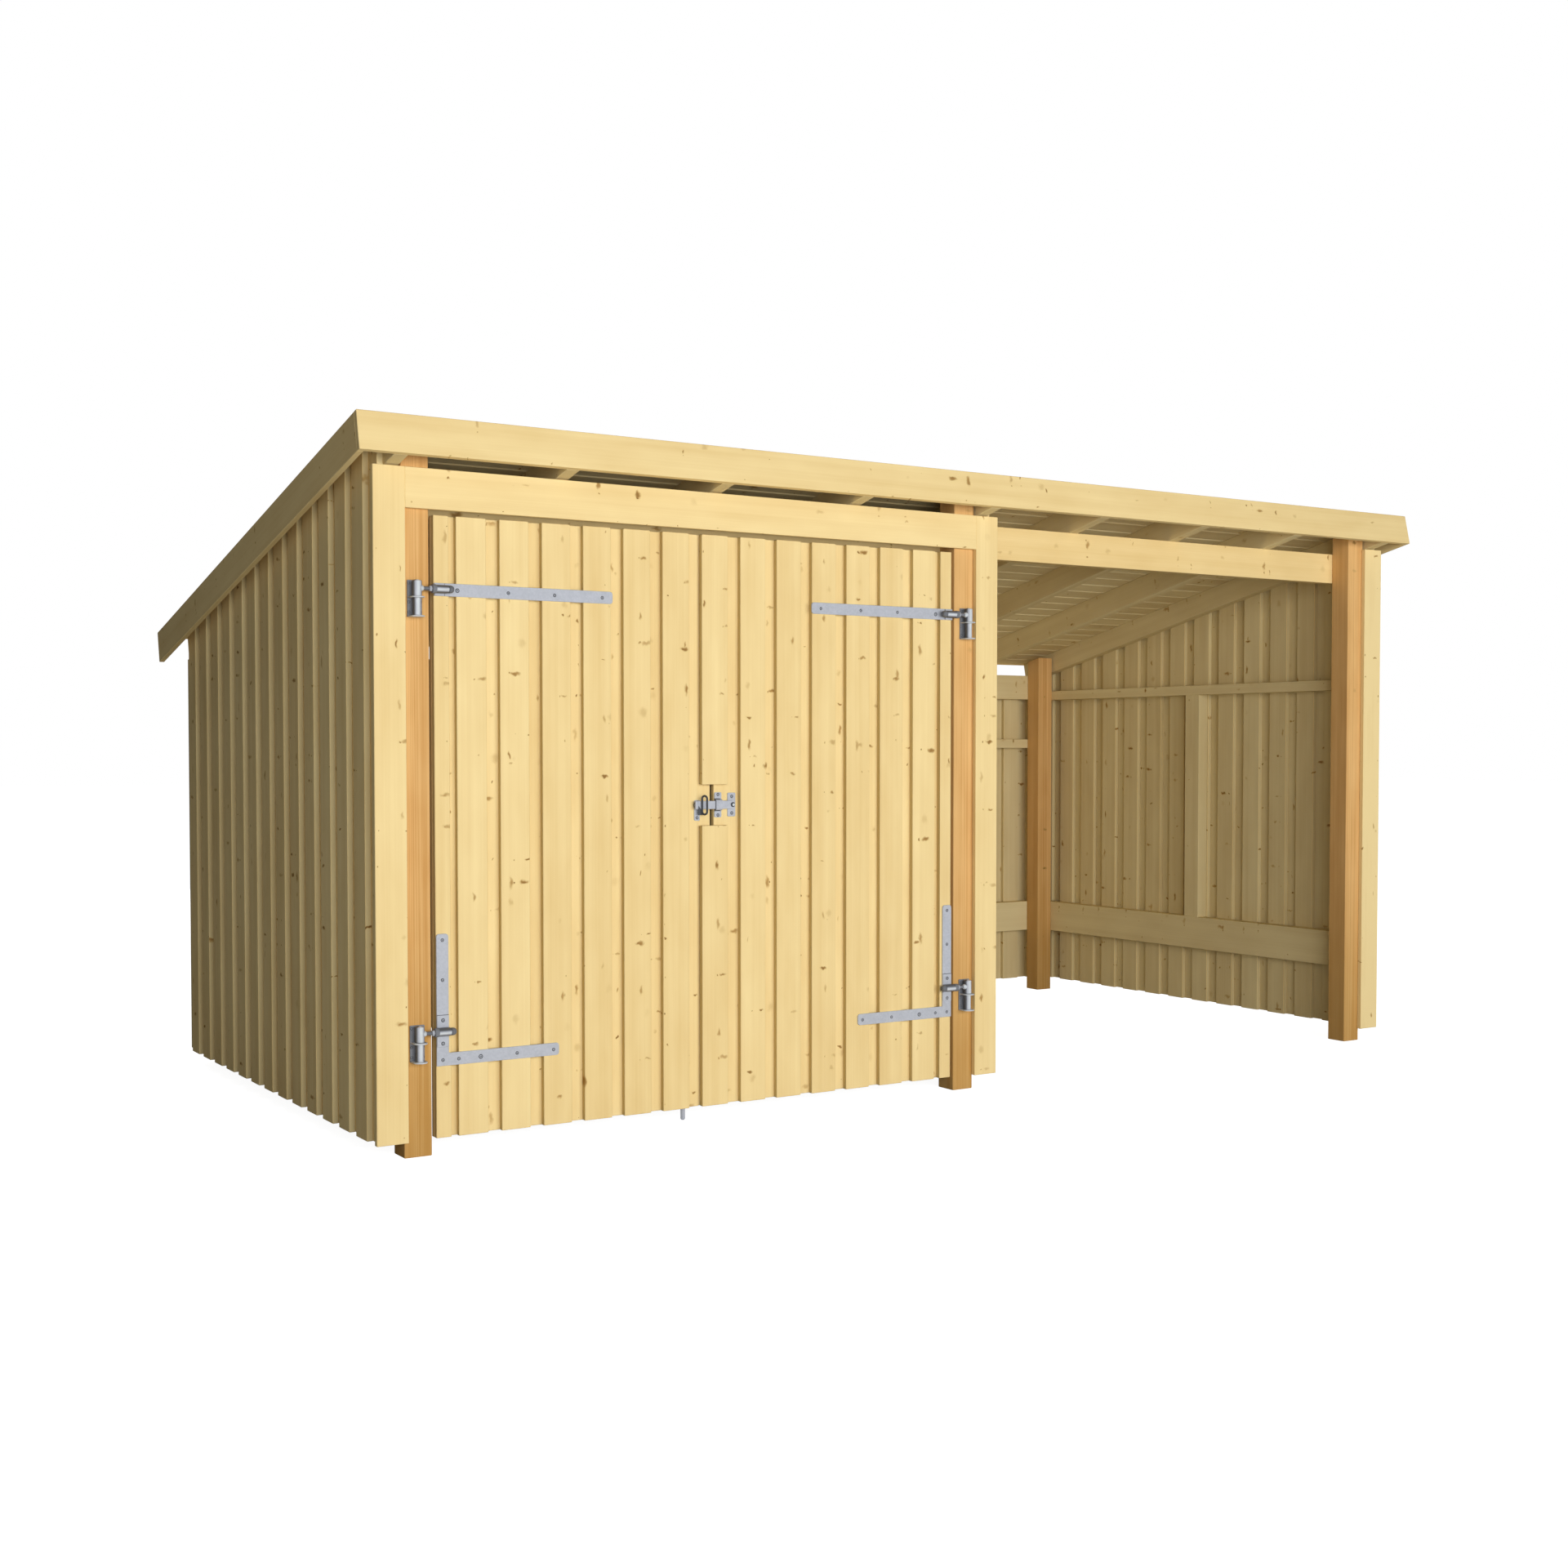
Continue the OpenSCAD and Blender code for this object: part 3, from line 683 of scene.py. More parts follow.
def knots(tree, grain, cells, size, kept, depth):
    """Knots in a share of the cells of a board's face, each with its own size and depth of colour."""
    where = stretched(tree, grain, 1 / cells[0], 1 / cells[1], 0)
    sockets = {"Vector": where, "Scale": 1.0, "Randomness": 1.0}
    cell = add_node(tree, "ShaderNodeTexVoronoi", sockets, voronoi_dimensions="2D").outputs
    chance = add_node(tree, "ShaderNodeSeparateColor", {"Color": cell["Color"]}).outputs
    radius = calc(tree, "MULTIPLY_ADD", chance[1], size, size * KNOT_SMALLEST)
    present = calc(tree, "LESS_THAN", chance[0], kept)
    deep = calc(tree, "MULTIPLY_ADD", chance[2], depth * (1 - KNOT_PALEST), depth * KNOT_PALEST)
    spot = faded(tree, cell["Distance"], calc(tree, "MULTIPLY", radius, KNOT_CORE), radius)
    return calc(tree, "MULTIPLY", spot, calc(tree, "MULTIPLY", present, deep))


def wood(name, light, dark, knot_share, ring_width, streak, ring, edge, painted_ground_shade):
    """Planed timber: growth rings, streaks and bands along the board, a tone for each board, and
    knots. Its sides and ends, as left by the saw, take a share of their own colour, which on the
    door boards' sides is painted shade as well, and a share of painted shade darkens it towards
    the ground."""
    made, tree, shader = new_finish(name)
    look = timber()
    grain = stored(tree, "grain", "Vector")
    fibres = stretched(tree, grain, 130, 1.6, 130)
    streaks = noise(tree, fibres, 3.0, 0.6)
    bands = noise(tree, stretched(tree, grain, 26, 0.4, 26), 1.0)
    clouds = noise(tree, stretched(tree, grain, 12, 3.5, 12), 2.0)
    sockets = {
        "Vector": stretched(tree, grain, 1, 0.02, 1),
        "Scale": 2 * math.pi / 20 / ring_width,
        "Distortion": 6.0,
        "Detail": 2.0,
        "Detail Scale": 0.3,
    }
    wave = add_node(tree, "ShaderNodeTexWave", sockets, wave_type="RINGS", rings_direction="Y")

    wander = noise(tree, stretched(tree, grain, 60, 45, 60), 1.0, output="Color")
    sockets = {0: wander, 1: (0.018, 0.018, 0), 2: grain}
    bent = add_node(tree, "ShaderNodeVectorMath", sockets, operation="MULTIPLY_ADD").outputs[0]
    core = 0.0
    for cells, size, kept, depth in KNOTS:
        core = calc(tree, "MAXIMUM", knots(tree, bent, cells, size, kept * knot_share, depth), core)

    parts = (
        (streaks, streak),
        (bands, 0.9),
        (clouds, 1.0),
        (wave.outputs["Fac"], ring),
        (stored(tree, "tone"), 0.45),
    )
    dull = 0.5 - sum(weight for _, weight in parts) / 2
    for value, weight in parts:
        dull = calc(tree, "MULTIPLY_ADD", value, weight, dull)
    planed = blend(tree, dull, light, dark)
    unplaned = blend(tree, dull, look.rough_light, look.rough_dark)
    body = blend(tree, stored(tree, "rough"), planed, unplaned)
    # Sides and ends take the edge colour: stained, and on the door boards painted shade
    body = blend(tree, calc(tree, "MULTIPLY", stored(tree, "sawn"), edge), body, look.edge)
    body = blend(tree, faded(tree, core, 0.0, 0.6, 0.0, 1.0), body, look.knot_rim)
    body = blend(tree, faded(tree, core, 0.35, 1.0, 0.0, 1.0), body, look.knot)
    # Painted shade: darker towards the ground, by a share
    height = add_node(tree, "ShaderNodeSeparateXYZ", {0: own_place(tree)}).outputs[2]
    body = blend(tree, faded(tree, height, 0.0, look.painted_ground_shade_high, painted_ground_shade), body, look.painted_ground_shade)
    tree.links.new(body, shader.inputs["Base Color"])
    tree.links.new(calc(tree, "MULTIPLY_ADD", streaks, 0.16, 0.5), shader.inputs["Roughness"])
    shader.inputs["Specular IOR Level"].default_value = 0.0
    bumped(tree, shader, noise(tree, fibres, 1.0), 0.15, 0.0006)
    return made


def planed_pine():
    """Pale pine of the boards and rails."""
    look = timber()
    return bpy.data.materials.get("planed_pine") or wood(
        "planed_pine", look.pine_light, look.pine_dark,
        knot_share=1.0, ring_width=0.0042, streak=0.5, ring=0.07, edge=0.8, painted_ground_shade=0.0,
    )


def heartwood():
    """Orange-brown timber of the posts."""
    look = timber()
    return bpy.data.materials.get("heartwood") or wood(
        "heartwood", look.heart_light, look.heart_dark,
        knot_share=0.12, ring_width=0.0026, streak=1.1, ring=0.5, edge=0.0, painted_ground_shade=0.4,
    )


def galvanised():
    """Zinc with its crystals, with painted highlight where the tone is high and painted shade where it
    is low.
    """
    ready = bpy.data.materials.get("galvanised")
    if ready:
        return ready
    made, tree, shader = new_finish("galvanised")
    look = metal()
    tone = stored(tree, "tone")
    grey, _ = speckles(tree, own_place(tree), 170.0)
    cloud = noise(tree, stretched(tree, own_place(tree), 28, 28, 28), 3.0)
    mixed = calc(tree, "MULTIPLY_ADD", grey, 0.45, calc(tree, "MULTIPLY", cloud, 0.6))
    zinc = blend(tree, mixed, look.zinc_light, look.zinc_dark)
    # Painted highlight where the tone is high
    zinc = blend(tree, faded(tree, tone, 0.6, 1.0, 0.0, 1.0), zinc, look.zinc_painted_highlight)
    # Painted shade where the tone is low
    zinc = blend(tree, faded(tree, tone, 0.0, 0.45), zinc, look.shadow)
    tree.links.new(zinc, shader.inputs["Base Color"])
    tree.links.new(calc(tree, "MULTIPLY_ADD", cloud, 0.25, 0.32), shader.inputs["Roughness"])
    shader.inputs["Metallic"].default_value = 0.3
    bumped(tree, shader, grey, 0.1, 0.0004)
    return made


def mineral_felt():
    """Roofing felt with mineral granules."""
    made, tree, shader = new_finish("mineral_felt")
    look = bpy.context.scene.shed_roof
    grey, distance = speckles(tree, own_place(tree), 520.0)
    cloud = noise(tree, stretched(tree, own_place(tree), 2.2, 2.2, 2.2), 4.0, 0.6)
    mixed = calc(tree, "MULTIPLY_ADD", grey, 0.6, calc(tree, "MULTIPLY", cloud, 0.4))
    tree.links.new(blend(tree, mixed, look.felt_dark, look.felt_light), shader.inputs["Base Color"])
    shader.inputs["Roughness"].default_value = 0.9
    bumped(tree, shader, distance, 0.6, 0.0008)
    return made


# Pieces


def one_board(node, slot, low, high, axes, finish=planed_pine, **looks):
    """A piece of one board in place of a CAD node of the frame."""
    shape = Timber(node + "_timber")
    shape.fill(low, high, axes, **looks)
    shape.piece(finish(), "frame", slot, node)


class SHED_OT_posts(bpy.types.Operator):
    """Posts, cut to the slope under the roof"""

    bl_idname = "shed.posts"
    bl_label = "Posts"

    def execute(self, context):
        looks = {"arris": timber().post_arris, "head": (0.0, -FALL)}
        for row in ("front", "back"):
            for place in ("left", "mid", "right"):
                node = f"post_{row}_{place}"
                one_board(node, "post_timber", *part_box(node), UPRIGHT, heartwood, **looks)
        return {"FINISHED"}


class SHED_OT_beams(bpy.types.Operator):
    """Front and back beam and the header over the doors"""

    bl_idname = "shed.beams"
    bl_label = "Beams and header"

    def execute(self, context):
        for node, slot, rough in (
            ("front_beam", "trim_boards", ()),
            ("back_beam", "frame_timber", ALL_FACES),
            ("door_header", "trim_boards", ()),
        ):
            one_board(node, slot, *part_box(node), LYING, rough=rough)
        return {"FINISHED"}


class SHED_OT_roof_timber(bpy.types.Operator):
    """Rafters and the grooved boards on them"""

    bl_idname = "shed.roof_timber"
    bl_label = "Rafters and roof boards"

    def execute(self, context):
        low, high = slope_box("rafters")
        rafters = Timber("rafter_timber")
        for left, right in spans("rafters", -SQUARE, X):
            ends = on_slope(left, low.y, low.z), on_slope(right, high.y, high.z)
            rafters.fill(*ends, (SQUARE, X, DOWN), rough=ALL_FACES)
        rafters.piece(planed_pine(), "frame", "frame_timber", "rafters")

        low, high = slope_box("roof_deck")
        count = round((high.y - low.y) / timber().roof_board)
        cover = (high.y - low.y) / count
        groove = (timber().groove, timber().groove_deep)
        boards = Timber("roof_boards")
        for i in range(count):
            start = low.y + i * cover
            ends = on_slope(low.x, start, low.z), on_slope(high.x, start + cover, high.z)
            boards.fill(*ends, (DOWN, SQUARE, X), groove=groove, rough=ALL_FACES)
        boards.piece(planed_pine(), "frame", "frame_timber", "roof_deck")
        return {"FINISHED"}


class SHED_OT_felt(bpy.types.Operator):
    """Courses of felt, each lapped over the next one down"""

    bl_idname = "shed.felt"
    bl_label = "Roofing felt"

    def execute(self, context):
        roof = context.scene.shed_roof
        low, high = slope_box("roof_felt")
        thick = roof.felt_thick
        count = round((high.y - low.y) / roof.course)
        cover = (high.y - low.y) / count
        shape = Shape("felt_courses")
        for i in range(count):
            start = low.y + i * cover
            end = start + cover
            line = [(start, 0.0), (end, 0.0)]
            if i < count - 1:
                line[1] = (end - roof.rise_start, 0.0)
                line += [(end + roof.rise_end, thick), (end + roof.lap, thick)]
            outline = line + [(s, n + thick) for s, n in reversed(line)]
            shape.rings([[on_slope(x, s, low.z + n) for s, n in outline] for x in (low.x, high.x)])
        shape.piece(mineral_felt(), "frame", "roof_felt", "roof_felt")
        return {"FINISHED"}


class SHED_OT_roof_edges(bpy.types.Operator):
    """Fascia and verge boards round the roof"""

    bl_idname = "shed.roof_edges"
    bl_label = "Roof edges"

    def execute(self, context):
        for node, through, along in (
            ("front_fascia", DOWN, X),
            ("rear_fascia", DOWN, X),
            ("left_verge", X, DOWN),
            ("right_verge", X, DOWN),
        ):
            ends = [on_slope(*corner) for corner in slope_box(node)]
            one_board(node, "trim_boards", *ends, (SQUARE, through, along))
        return {"FINISHED"}


class SHED_OT_wall_frames(bpy.types.Operator):
    """Rails and studs of the walls"""

    bl_idname = "shed.wall_frames"
    bl_label = "Wall frames"

    def execute(self, context):
        for node in ("left_wall_frame", "right_wall_frame", "partition_frame"):
            low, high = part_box(node)
            bottom, top = levels(node, Z)[1:3]
            front, back = levels(node, Y)[1:3]
            shape = Timber(node + "_timber")
            shape.pair(node, (Z, X, Y), rough=ALL_FACES)
            ends = Vector((low.x, front, bottom)), Vector((high.x, back, top))
            shape.fill(*ends, (Y, X, Z), rough=ALL_FACES)
            shape.piece(planed_pine(), "frame", "frame_timber", node)

        node = "back_wall_rails"
        shape = Timber(node + "_timber")
        shape.pair(node, LYING, rough=ALL_FACES)
        shape.piece(planed_pine(), "frame", "frame_timber", node)
        return {"FINISHED"}


def board_on_board(shape, node, along, outward, head=0.0):
    """Upright boards in two layers, where a CAD node's cladding has them. The outward side has the
    upper layer."""
    low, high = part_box(node)
    near, far = sorted((low.dot(outward), high.dot(outward)))
    thick = (far - near) / 2
    for layer, facing in ((0, -outward), (1, outward)):
        for start, end in spans(node, facing, along):
            drop = head * (start - low.dot(along))
            base = along * start + outward * (near + layer * thick) + Z * low.z
            size = (end - start, thick, high.z + drop - low.z)
            shape.board(base, (along, outward, Z), size, head=(head, 0.0), rough=FIRST_FACE_AND_SIDES)


class SHED_OT_cladding(bpy.types.Operator):
    """Board-on-board cladding of the walls and the partition"""

    bl_idname = "shed.cladding"
    bl_label = "Wall boards"

    def execute(self, context):
        for node in ("left_wall_cladding", "right_wall_cladding", "partition_cladding"):
            outward = X if self.faces_right(node) else -X
            shape = Timber(node + "_boards")
            board_on_board(shape, node, Y, outward, head=-FALL)
            shape.piece(planed_pine(), "frame", "wall_boards", node)
        shape = Timber("back_wall_boards")
        board_on_board(shape, "back_wall_cladding", X, Y)
        shape.piece(planed_pine(), "frame", "wall_boards", "back_wall_cladding")
        return {"FINISHED"}

    @staticmethod
    def faces_right(node):
        """Whether the upper layer, which starts behind the front edge, is on the right."""
        return spans(node, X, Y)[0][0] > spans(node, -X, Y)[0][0]


class SHED_OT_corner_boards(bpy.types.Operator):
    """Boards that close the ends of the walls at the front"""

    bl_idname = "shed.corner_boards"
    bl_label = "Corner boards"

    def execute(self, context):
        for node in ("left_corner_board", "mid_trim_board", "right_corner_board"):
            # Painted light: the corner boards are made paler
            one_board(node, "trim_boards", *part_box(node), UPRIGHT, pale=timber().corner_painted_light)
        return {"FINISHED"}


class SHED_OT_doors(bpy.types.Operator):
    """Boards, ledges and braces of the doors, and the cover board over the joint"""

    bl_idname = "shed.doors"
    bl_label = "Doors"

    def execute(self, context):
        for side in ("left", "right"):
            self.boards(side)
            self.ledges(side)
        cover = Timber("cover_board")
        # Painted shade darkens the cover board's sides
        cover.pair("door_cover_board", UPRIGHT, stain=DOOR_STAIN_AND_SHADE)
        cover.piece(planed_pine(), "right_door", "door_boards", "door_cover_board")
        return {"FINISHED"}

    def boards(self, side):
        """Outer boards over the joints of the inner ones. The left door is rebated behind the
        cover board."""
        node = f"{side}_door_boards"
        low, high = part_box(node)
        middle = (low.y + high.y) / 2
        rebate = timber().rebate
        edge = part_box("door_cover_board")[0].x - rebate
        shape = Timber(f"{side}_door_planks")
        for start, end in spans(node, -Y, X):
            ends = Vector((start, low.y, low.z)), Vector((end, middle, high.z))
            # Painted shade darkens the sides of the outer door boards
            shape.fill(*ends, UPRIGHT, stain=DOOR_STAIN_AND_SHADE, rough=SECOND_FACE)
        for start, end in spans(node, Y, X):
            stretches = [(start, end, middle)]
            if side == "left" and end > edge:
                stretches = [(start, edge, middle), (edge, end, middle + rebate)]
            for left, right, front in stretches:
                ends = Vector((left, front, low.z)), Vector((right, high.y, high.z))
                shape.fill(*ends, UPRIGHT, rough=SECOND_FACE)
        shape.piece(planed_pine(), f"{side}_door", "door_boards", node)

    def ledges(self, side):
        """Two ledges and the brace between them."""
        node = f"{side}_door_ledges"
        low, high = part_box(node)
        bottom, top = levels(node, Z)[1:3]
        places = levels(node, X)
        lower, upper = (places[1:3], places[3:5]) if side == "left" else (places[3:5], places[1:3])
        shape = Timber(f"{side}_ledge_timber")
        shape.pair(node, LYING, rough=ALL_FACES)
        foot = Vector((lower[0], low.y, bottom))
        run = Vector((upper[0], low.y, top)) - foot
        along = run.normalized()
        across = Vector((along.z, 0, -along.x))
        tilt = (-across.z / along.z, 0.0)
        size = ((lower[1] - lower[0]) * across.x, high.y - low.y, run.length)
        shape.board(foot, (across, Y, along), size, head=tilt, foot=tilt, rough=ALL_FACES)
        shape.piece(planed_pine(), f"{side}_door", "frame_timber", node)


# Hinges: angle to the front, gaps, and how far the pin ends under the top of its eye
FORWARD = -90
EYE_GAP = 0.0005
BORE_GAP = 0.0003
PIN_SHORT = 0.007

# Flared end of a barrel: how far it stands out, and the height above its collar
FLARE = ((0.002, -0.001), (0.0012, 0.0008), (0.0, 0.002))

# Root of an adjusting rod on the eye: radius and distance from the pin
ROOT = ((0.0112, 0.009), (0.0108, 0.0135), (0.0085, 0.018), (0.0068, 0.021))
ROD_START = 0.019
ROD_RADII = (0.0052, 0.006)
ROD_SHORT = 0.015

# Parts on an adjusting rod: radius and distance past its end, and the look
ROD_PARTS = (
    # The looks paint light: shade on the collar and tail, a highlight down the sleeve's front
    # nut, collar, sleeve and tail
    (((0.0082, -0.008), (0.0092, -0.007), (0.0092, 0.0)), {"sides": 6}),
    (((0.0128, 0.0), (0.014, 0.0012), (0.014, 0.0128), (0.0128, 0.014)), {"tone": 0.17}),
    (((0.0126, 0.013), (0.0126, 0.0525), (0.0116, 0.054)), {"front": 190, "streak": 16.0}),
    (((0.0105, 0.053), (0.0105, 0.0555), (0.0122, 0.0562), (0.0122, 0.063), (0.0112, 0.067),
      (0.009, 0.0705), (0.007, 0.072)), {"tone": 0.14}),
)
SLEEVE_END = 0.054

# Screws: places across and up a bracket, places along the legs of the bands with the screw's size,
# and in the upright legs whether a screw is in the second layer
BRACKET_SCREWS = [(x, z) for z in (0.016, -0.074, -0.042) for x in (-0.019, 0.019)]
BRACKET_SCREW = 0.0034
STRAIGHT_SCREWS = ((0.0765, 1.25), (0.2488, 1.0), (0.410, 1.0), (0.581, 1.0))
LYING_SCREWS = ((0.073, 1.0), (0.147, 1.3), (0.272, 1.0), (0.400, 1.0))
LYING_SCREWS_Z = -0.0903
UPRIGHT_SCREWS = (
    (0.2865, 1.0, False),
    (0.161, 1.0, False),
    (0.035, 1.1, True),
    (-0.0383, 1.1, True),
    (LYING_SCREWS_Z, 1.0, False),
)


class SHED_OT_hinges(bpy.types.Operator):
    """Bands with adjustable eyes on the doors, and their brackets on the posts"""

    bl_idname = "shed.hinges"
    bl_label = "Hinges"

    def execute(self, context):
        for side, way in (("left", 1), ("right", -1)):
            bracket_node, band_node = f"{side}_hinge_brackets", f"{side}_door_bands"
            low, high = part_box(bracket_node)
            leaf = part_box(band_node)
            near, far = (0, 1) if way > 0 else (1, 0)
            axis = Vector(((low.x + high.x) / 2, low.y + metal().collar_radius, 0))
            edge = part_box(f"{side}_door_boards")[near].x
            reach = (edge - axis.x) * way
            back = leaf[1].y - axis.y
            brackets = Shape(f"{side}_bracket_irons")
            bands = Shape(f"{side}_band_irons")
            straps = spans(band_node, Y, Z)
            for upper, (bottom, top) in enumerate(spans(bracket_node, Y, Z)):
                middle = top - metal().eye_high / 2

                def at(x, y, z, middle=middle):
                    return Vector((axis.x + way * x, axis.y + y, middle + z))

                self.bracket(brackets, at, bottom - middle, high.y - axis.y, (high.x - low.x) / 2)
                self.eye(bands, at, reach, back)
                if upper:
                    self.straight_band(bands, at, reach, back, (leaf[far].x - edge) * way)
                else:
                    self.angle_band(bands, at, reach, back, *[z - middle for z in straps[0]])
            brackets.piece(galvanised(), "frame", "zinc_steel", bracket_node, smooth=True)
            bands.piece(galvanised(), f"{side}_door", "zinc_steel", band_node, smooth=True)
        return {"FINISHED"}

    def bracket(self, shape, at, foot, back, half):
        """Plate on the post with two collars, the barrel between them and the pin."""
        iron = metal()
        top = iron.eye_high / 2
        face = back - iron.bracket_thick
        outline = rounded((-half, foot), (half, top), 0.003)
        # Painted shade darkens the bracket plate
        plate(shape, outside(at, back), outline, iron.bracket_thick, tone=0.22)
        for x, z in BRACKET_SCREWS:
            screw(shape, outside(at, face, x, z), BRACKET_SCREW)

        r = iron.collar_radius
        arc = [math.radians(t) for t in range(180, 361, 10)]
        outline = [(r * math.cos(t), r * math.sin(t) - iron.collar_front) for t in arc]
        outline += [(r, face + 0.001), (-r, face + 0.001)]
        thick = iron.collar_thick
        neck = -top - EYE_GAP - thick
        for z in (neck, foot):
            # Painted highlight makes the collars brighter
            plate(shape, shifted(at, third=z), outline, thick, bevel=0.0012, tone=0.8)

        lip = foot + thick
        r = iron.eye_radius - FLARE[0][0]
        barrel = [(r + out, lip + up) for out, up in FLARE]
        barrel += [(r + out, neck - up) for out, up in reversed(FLARE)]
        # Painted highlight down the barrel's front, painted shade at its sides
        lathe(shape, at, barrel, front=FORWARD, streak=6.0)
        r, tip = iron.pin_radius, top - PIN_SHORT
        lathe(shape, at, [(r, neck), (r, tip - 0.002), (r - 0.002, tip)])

    def eye(self, shape, at, reach, back):
        """Eye with a domed cap, threaded rod with its root and nut, and the sleeve on the band."""
        iron = metal()
        top = iron.eye_high / 2
        cap = top - 0.005
        r, bore = iron.eye_radius, iron.pin_radius + BORE_GAP
        profile = [(bore, cap), (bore, -top), (r - 0.001, -top), (r, 0.001 - top)]
        for t in [math.radians(turn) for turn in range(0, 91, 15)]:
            profile.append((r - 0.006 * (1 - math.cos(t)), cap + 0.0036 * math.sin(t)))
        profile += [(0.0072, top - 0.0010), (0.0068, top - 0.0002), (0.004, top)]
        # Painted highlight down the eye's front, painted shade at its sides
        lathe(shape, at, profile, front=FORWARD, streak=5.0)

        end = reach - ROD_SHORT
        pitch = iron.thread_pitch
        thin, full = ROD_RADII
        rod = [(0.0, ROD_START)]
        place = ROD_START + 0.0005
        while place < end - pitch:
            rod += [(thin, place), (full, place + 0.3 * pitch), (full, place + 0.6 * pitch)]
            place += pitch
        rod.append((0.0, place))
        # Painted highlight makes the root brighter
        lathe(shape, lambda a, b, c: at(c, a, b), ROOT, tone=0.85)
        lathe(shape, lambda a, b, c: at(c, a, b), rod, sides=20, tone=0.2)
        for profile, looks in ROD_PARTS:
            lathe(shape, lambda a, b, c: at(end + c, a, b), profile, **looks)
        front = back - iron.band_thick
        saddle = rounded((reach, -0.0125), (end + SLEEVE_END, 0.0125), 0.002)
        # Painted shade darkens the saddle under the sleeve
        plate(shape, outside(at, front + 0.0002), saddle, front, bevel=0.002, tone=0.12)

    def straight_band(self, shape, at, reach, back, long):
        """Upper band, doubled by the sleeve."""
        iron = metal()
        half, end = iron.band_wide / 2, iron.band_end
        outline = rounded((reach, -half), (reach + long, half), (0.001, end, end, 0.001))
        plate(shape, outside(at, back), outline, iron.band_thick)
        face = back - iron.band_thick
        top, fold = half - 0.0004, reach + 0.033
        self.doubled(shape, at, face, (reach + 0.0005, -top), (fold, top))
        self.seam(shape, at, face, (fold, -top), (fold + 0.0015, top))
        for x, size in STRAIGHT_SCREWS:
            self.band_screw(shape, at, reach + x, face, -0.001, size)

    def angle_band(self, shape, at, reach, back, low, high):
        """Lower band with an upright leg, doubled by the sleeve."""
        iron = metal()
        wide, end = iron.band_wide, iron.band_end
        lying = rounded((reach, low), (reach + iron.angle_leg, low + wide), (0.001, end, end, 0.0))
        upright = rounded((reach, low), (reach + wide, high), (0.0, 0.0, end, end))
        inner = [(reach + wide + 0.002, low + wide), (reach + wide, low + wide + 0.002)]
        outline = lying[:-1] + inner + upright[2:]
        plate(shape, outside(at, back), outline, iron.band_thick)
        face = back - iron.band_thick
        left, right, fold = reach + 0.0005, reach + wide - 0.0003, 0.0505
        self.doubled(shape, at, face, (left, -0.0495), (right, fold))
        self.seam(shape, at, face, (left, fold), (right, fold + 0.0015))
        for z, size, second in UPRIGHT_SCREWS:
            out = iron.doubling if second else 0.0
            self.band_screw(shape, at, reach + wide / 2, face - out, z, size)
        for x, size in LYING_SCREWS:
            self.band_screw(shape, at, reach + x, face, LYING_SCREWS_Z, size)

    def doubled(self, shape, at, face, low, high):
        """Second layer of a band."""
        plate(shape, outside(at, face), rounded(low, high, 0.001), metal().doubling)

    def seam(self, shape, at, face, low, high):
        """Dark strip of painted shade along the step at the end of the second layer."""
        plate(shape, outside(at, face), rounded(low, high, 0), 0.0008, bevel=0.0002, tone=0.0)

    def band_screw(self, shape, at, x, y, z, size):
        """A screw through a band, with its slot turned by chance."""
        turn = shape.random.uniform(0, math.pi / 2)
        cos, sin = math.cos(turn), math.sin(turn)

        def turned(a, b, c):
            return at(x + a * cos - b * sin, y - c, z + a * sin + b * cos)

        screw(shape, turned, metal().screw_radius * size)


# Latch: distance from its middle to its right end, its screws, and its turned parts
LATCH_RIGHT = 0.091
LATCH_SCREW = 0.0045
LATCH_SCREWS = ((0.076, 0.028), (0.076, -0.029), (0.0215, 0.0352), (0.0215, -0.0352))
KNOB = ((0.0085, 0.0115), (0.0085, 0.0128), (0.0068, 0.0136))
KNOB_DOME = ((0.0050, 0.0130), (0.0047, 0.0142), (0.0035, 0.015))
KNUCKLE = ((0.005, -0.014), (0.006, -0.013), (0.006, 0.013), (0.005, 0.014))

# One side of the bridge over the bar: height and distance from the door
BRIDGE = [(-0.0245, 0.0028), (-0.0195, 0.0045), (-0.0182, 0.0095), (-0.0165, 0.0128), (-0.0130, 0.0150)]

# Dark patch of painted shadow under the bar's end
PAINTED_SHADOW_PATCH = [(-0.0625, -0.034), (-0.0450, -0.034), (-0.0450, -0.0210), (-0.0605, -0.003)]

# Loop: its middle, half the length of its straight sides, bend and wire radius, and lean
LOOP_X, LOOP_OUT = -0.043, 0.023
LOOP_HALF = 0.021
LOOP_BEND = 0.0105
LOOP_WIRE = 0.0035
LOOP_LEAN = math.radians(25)


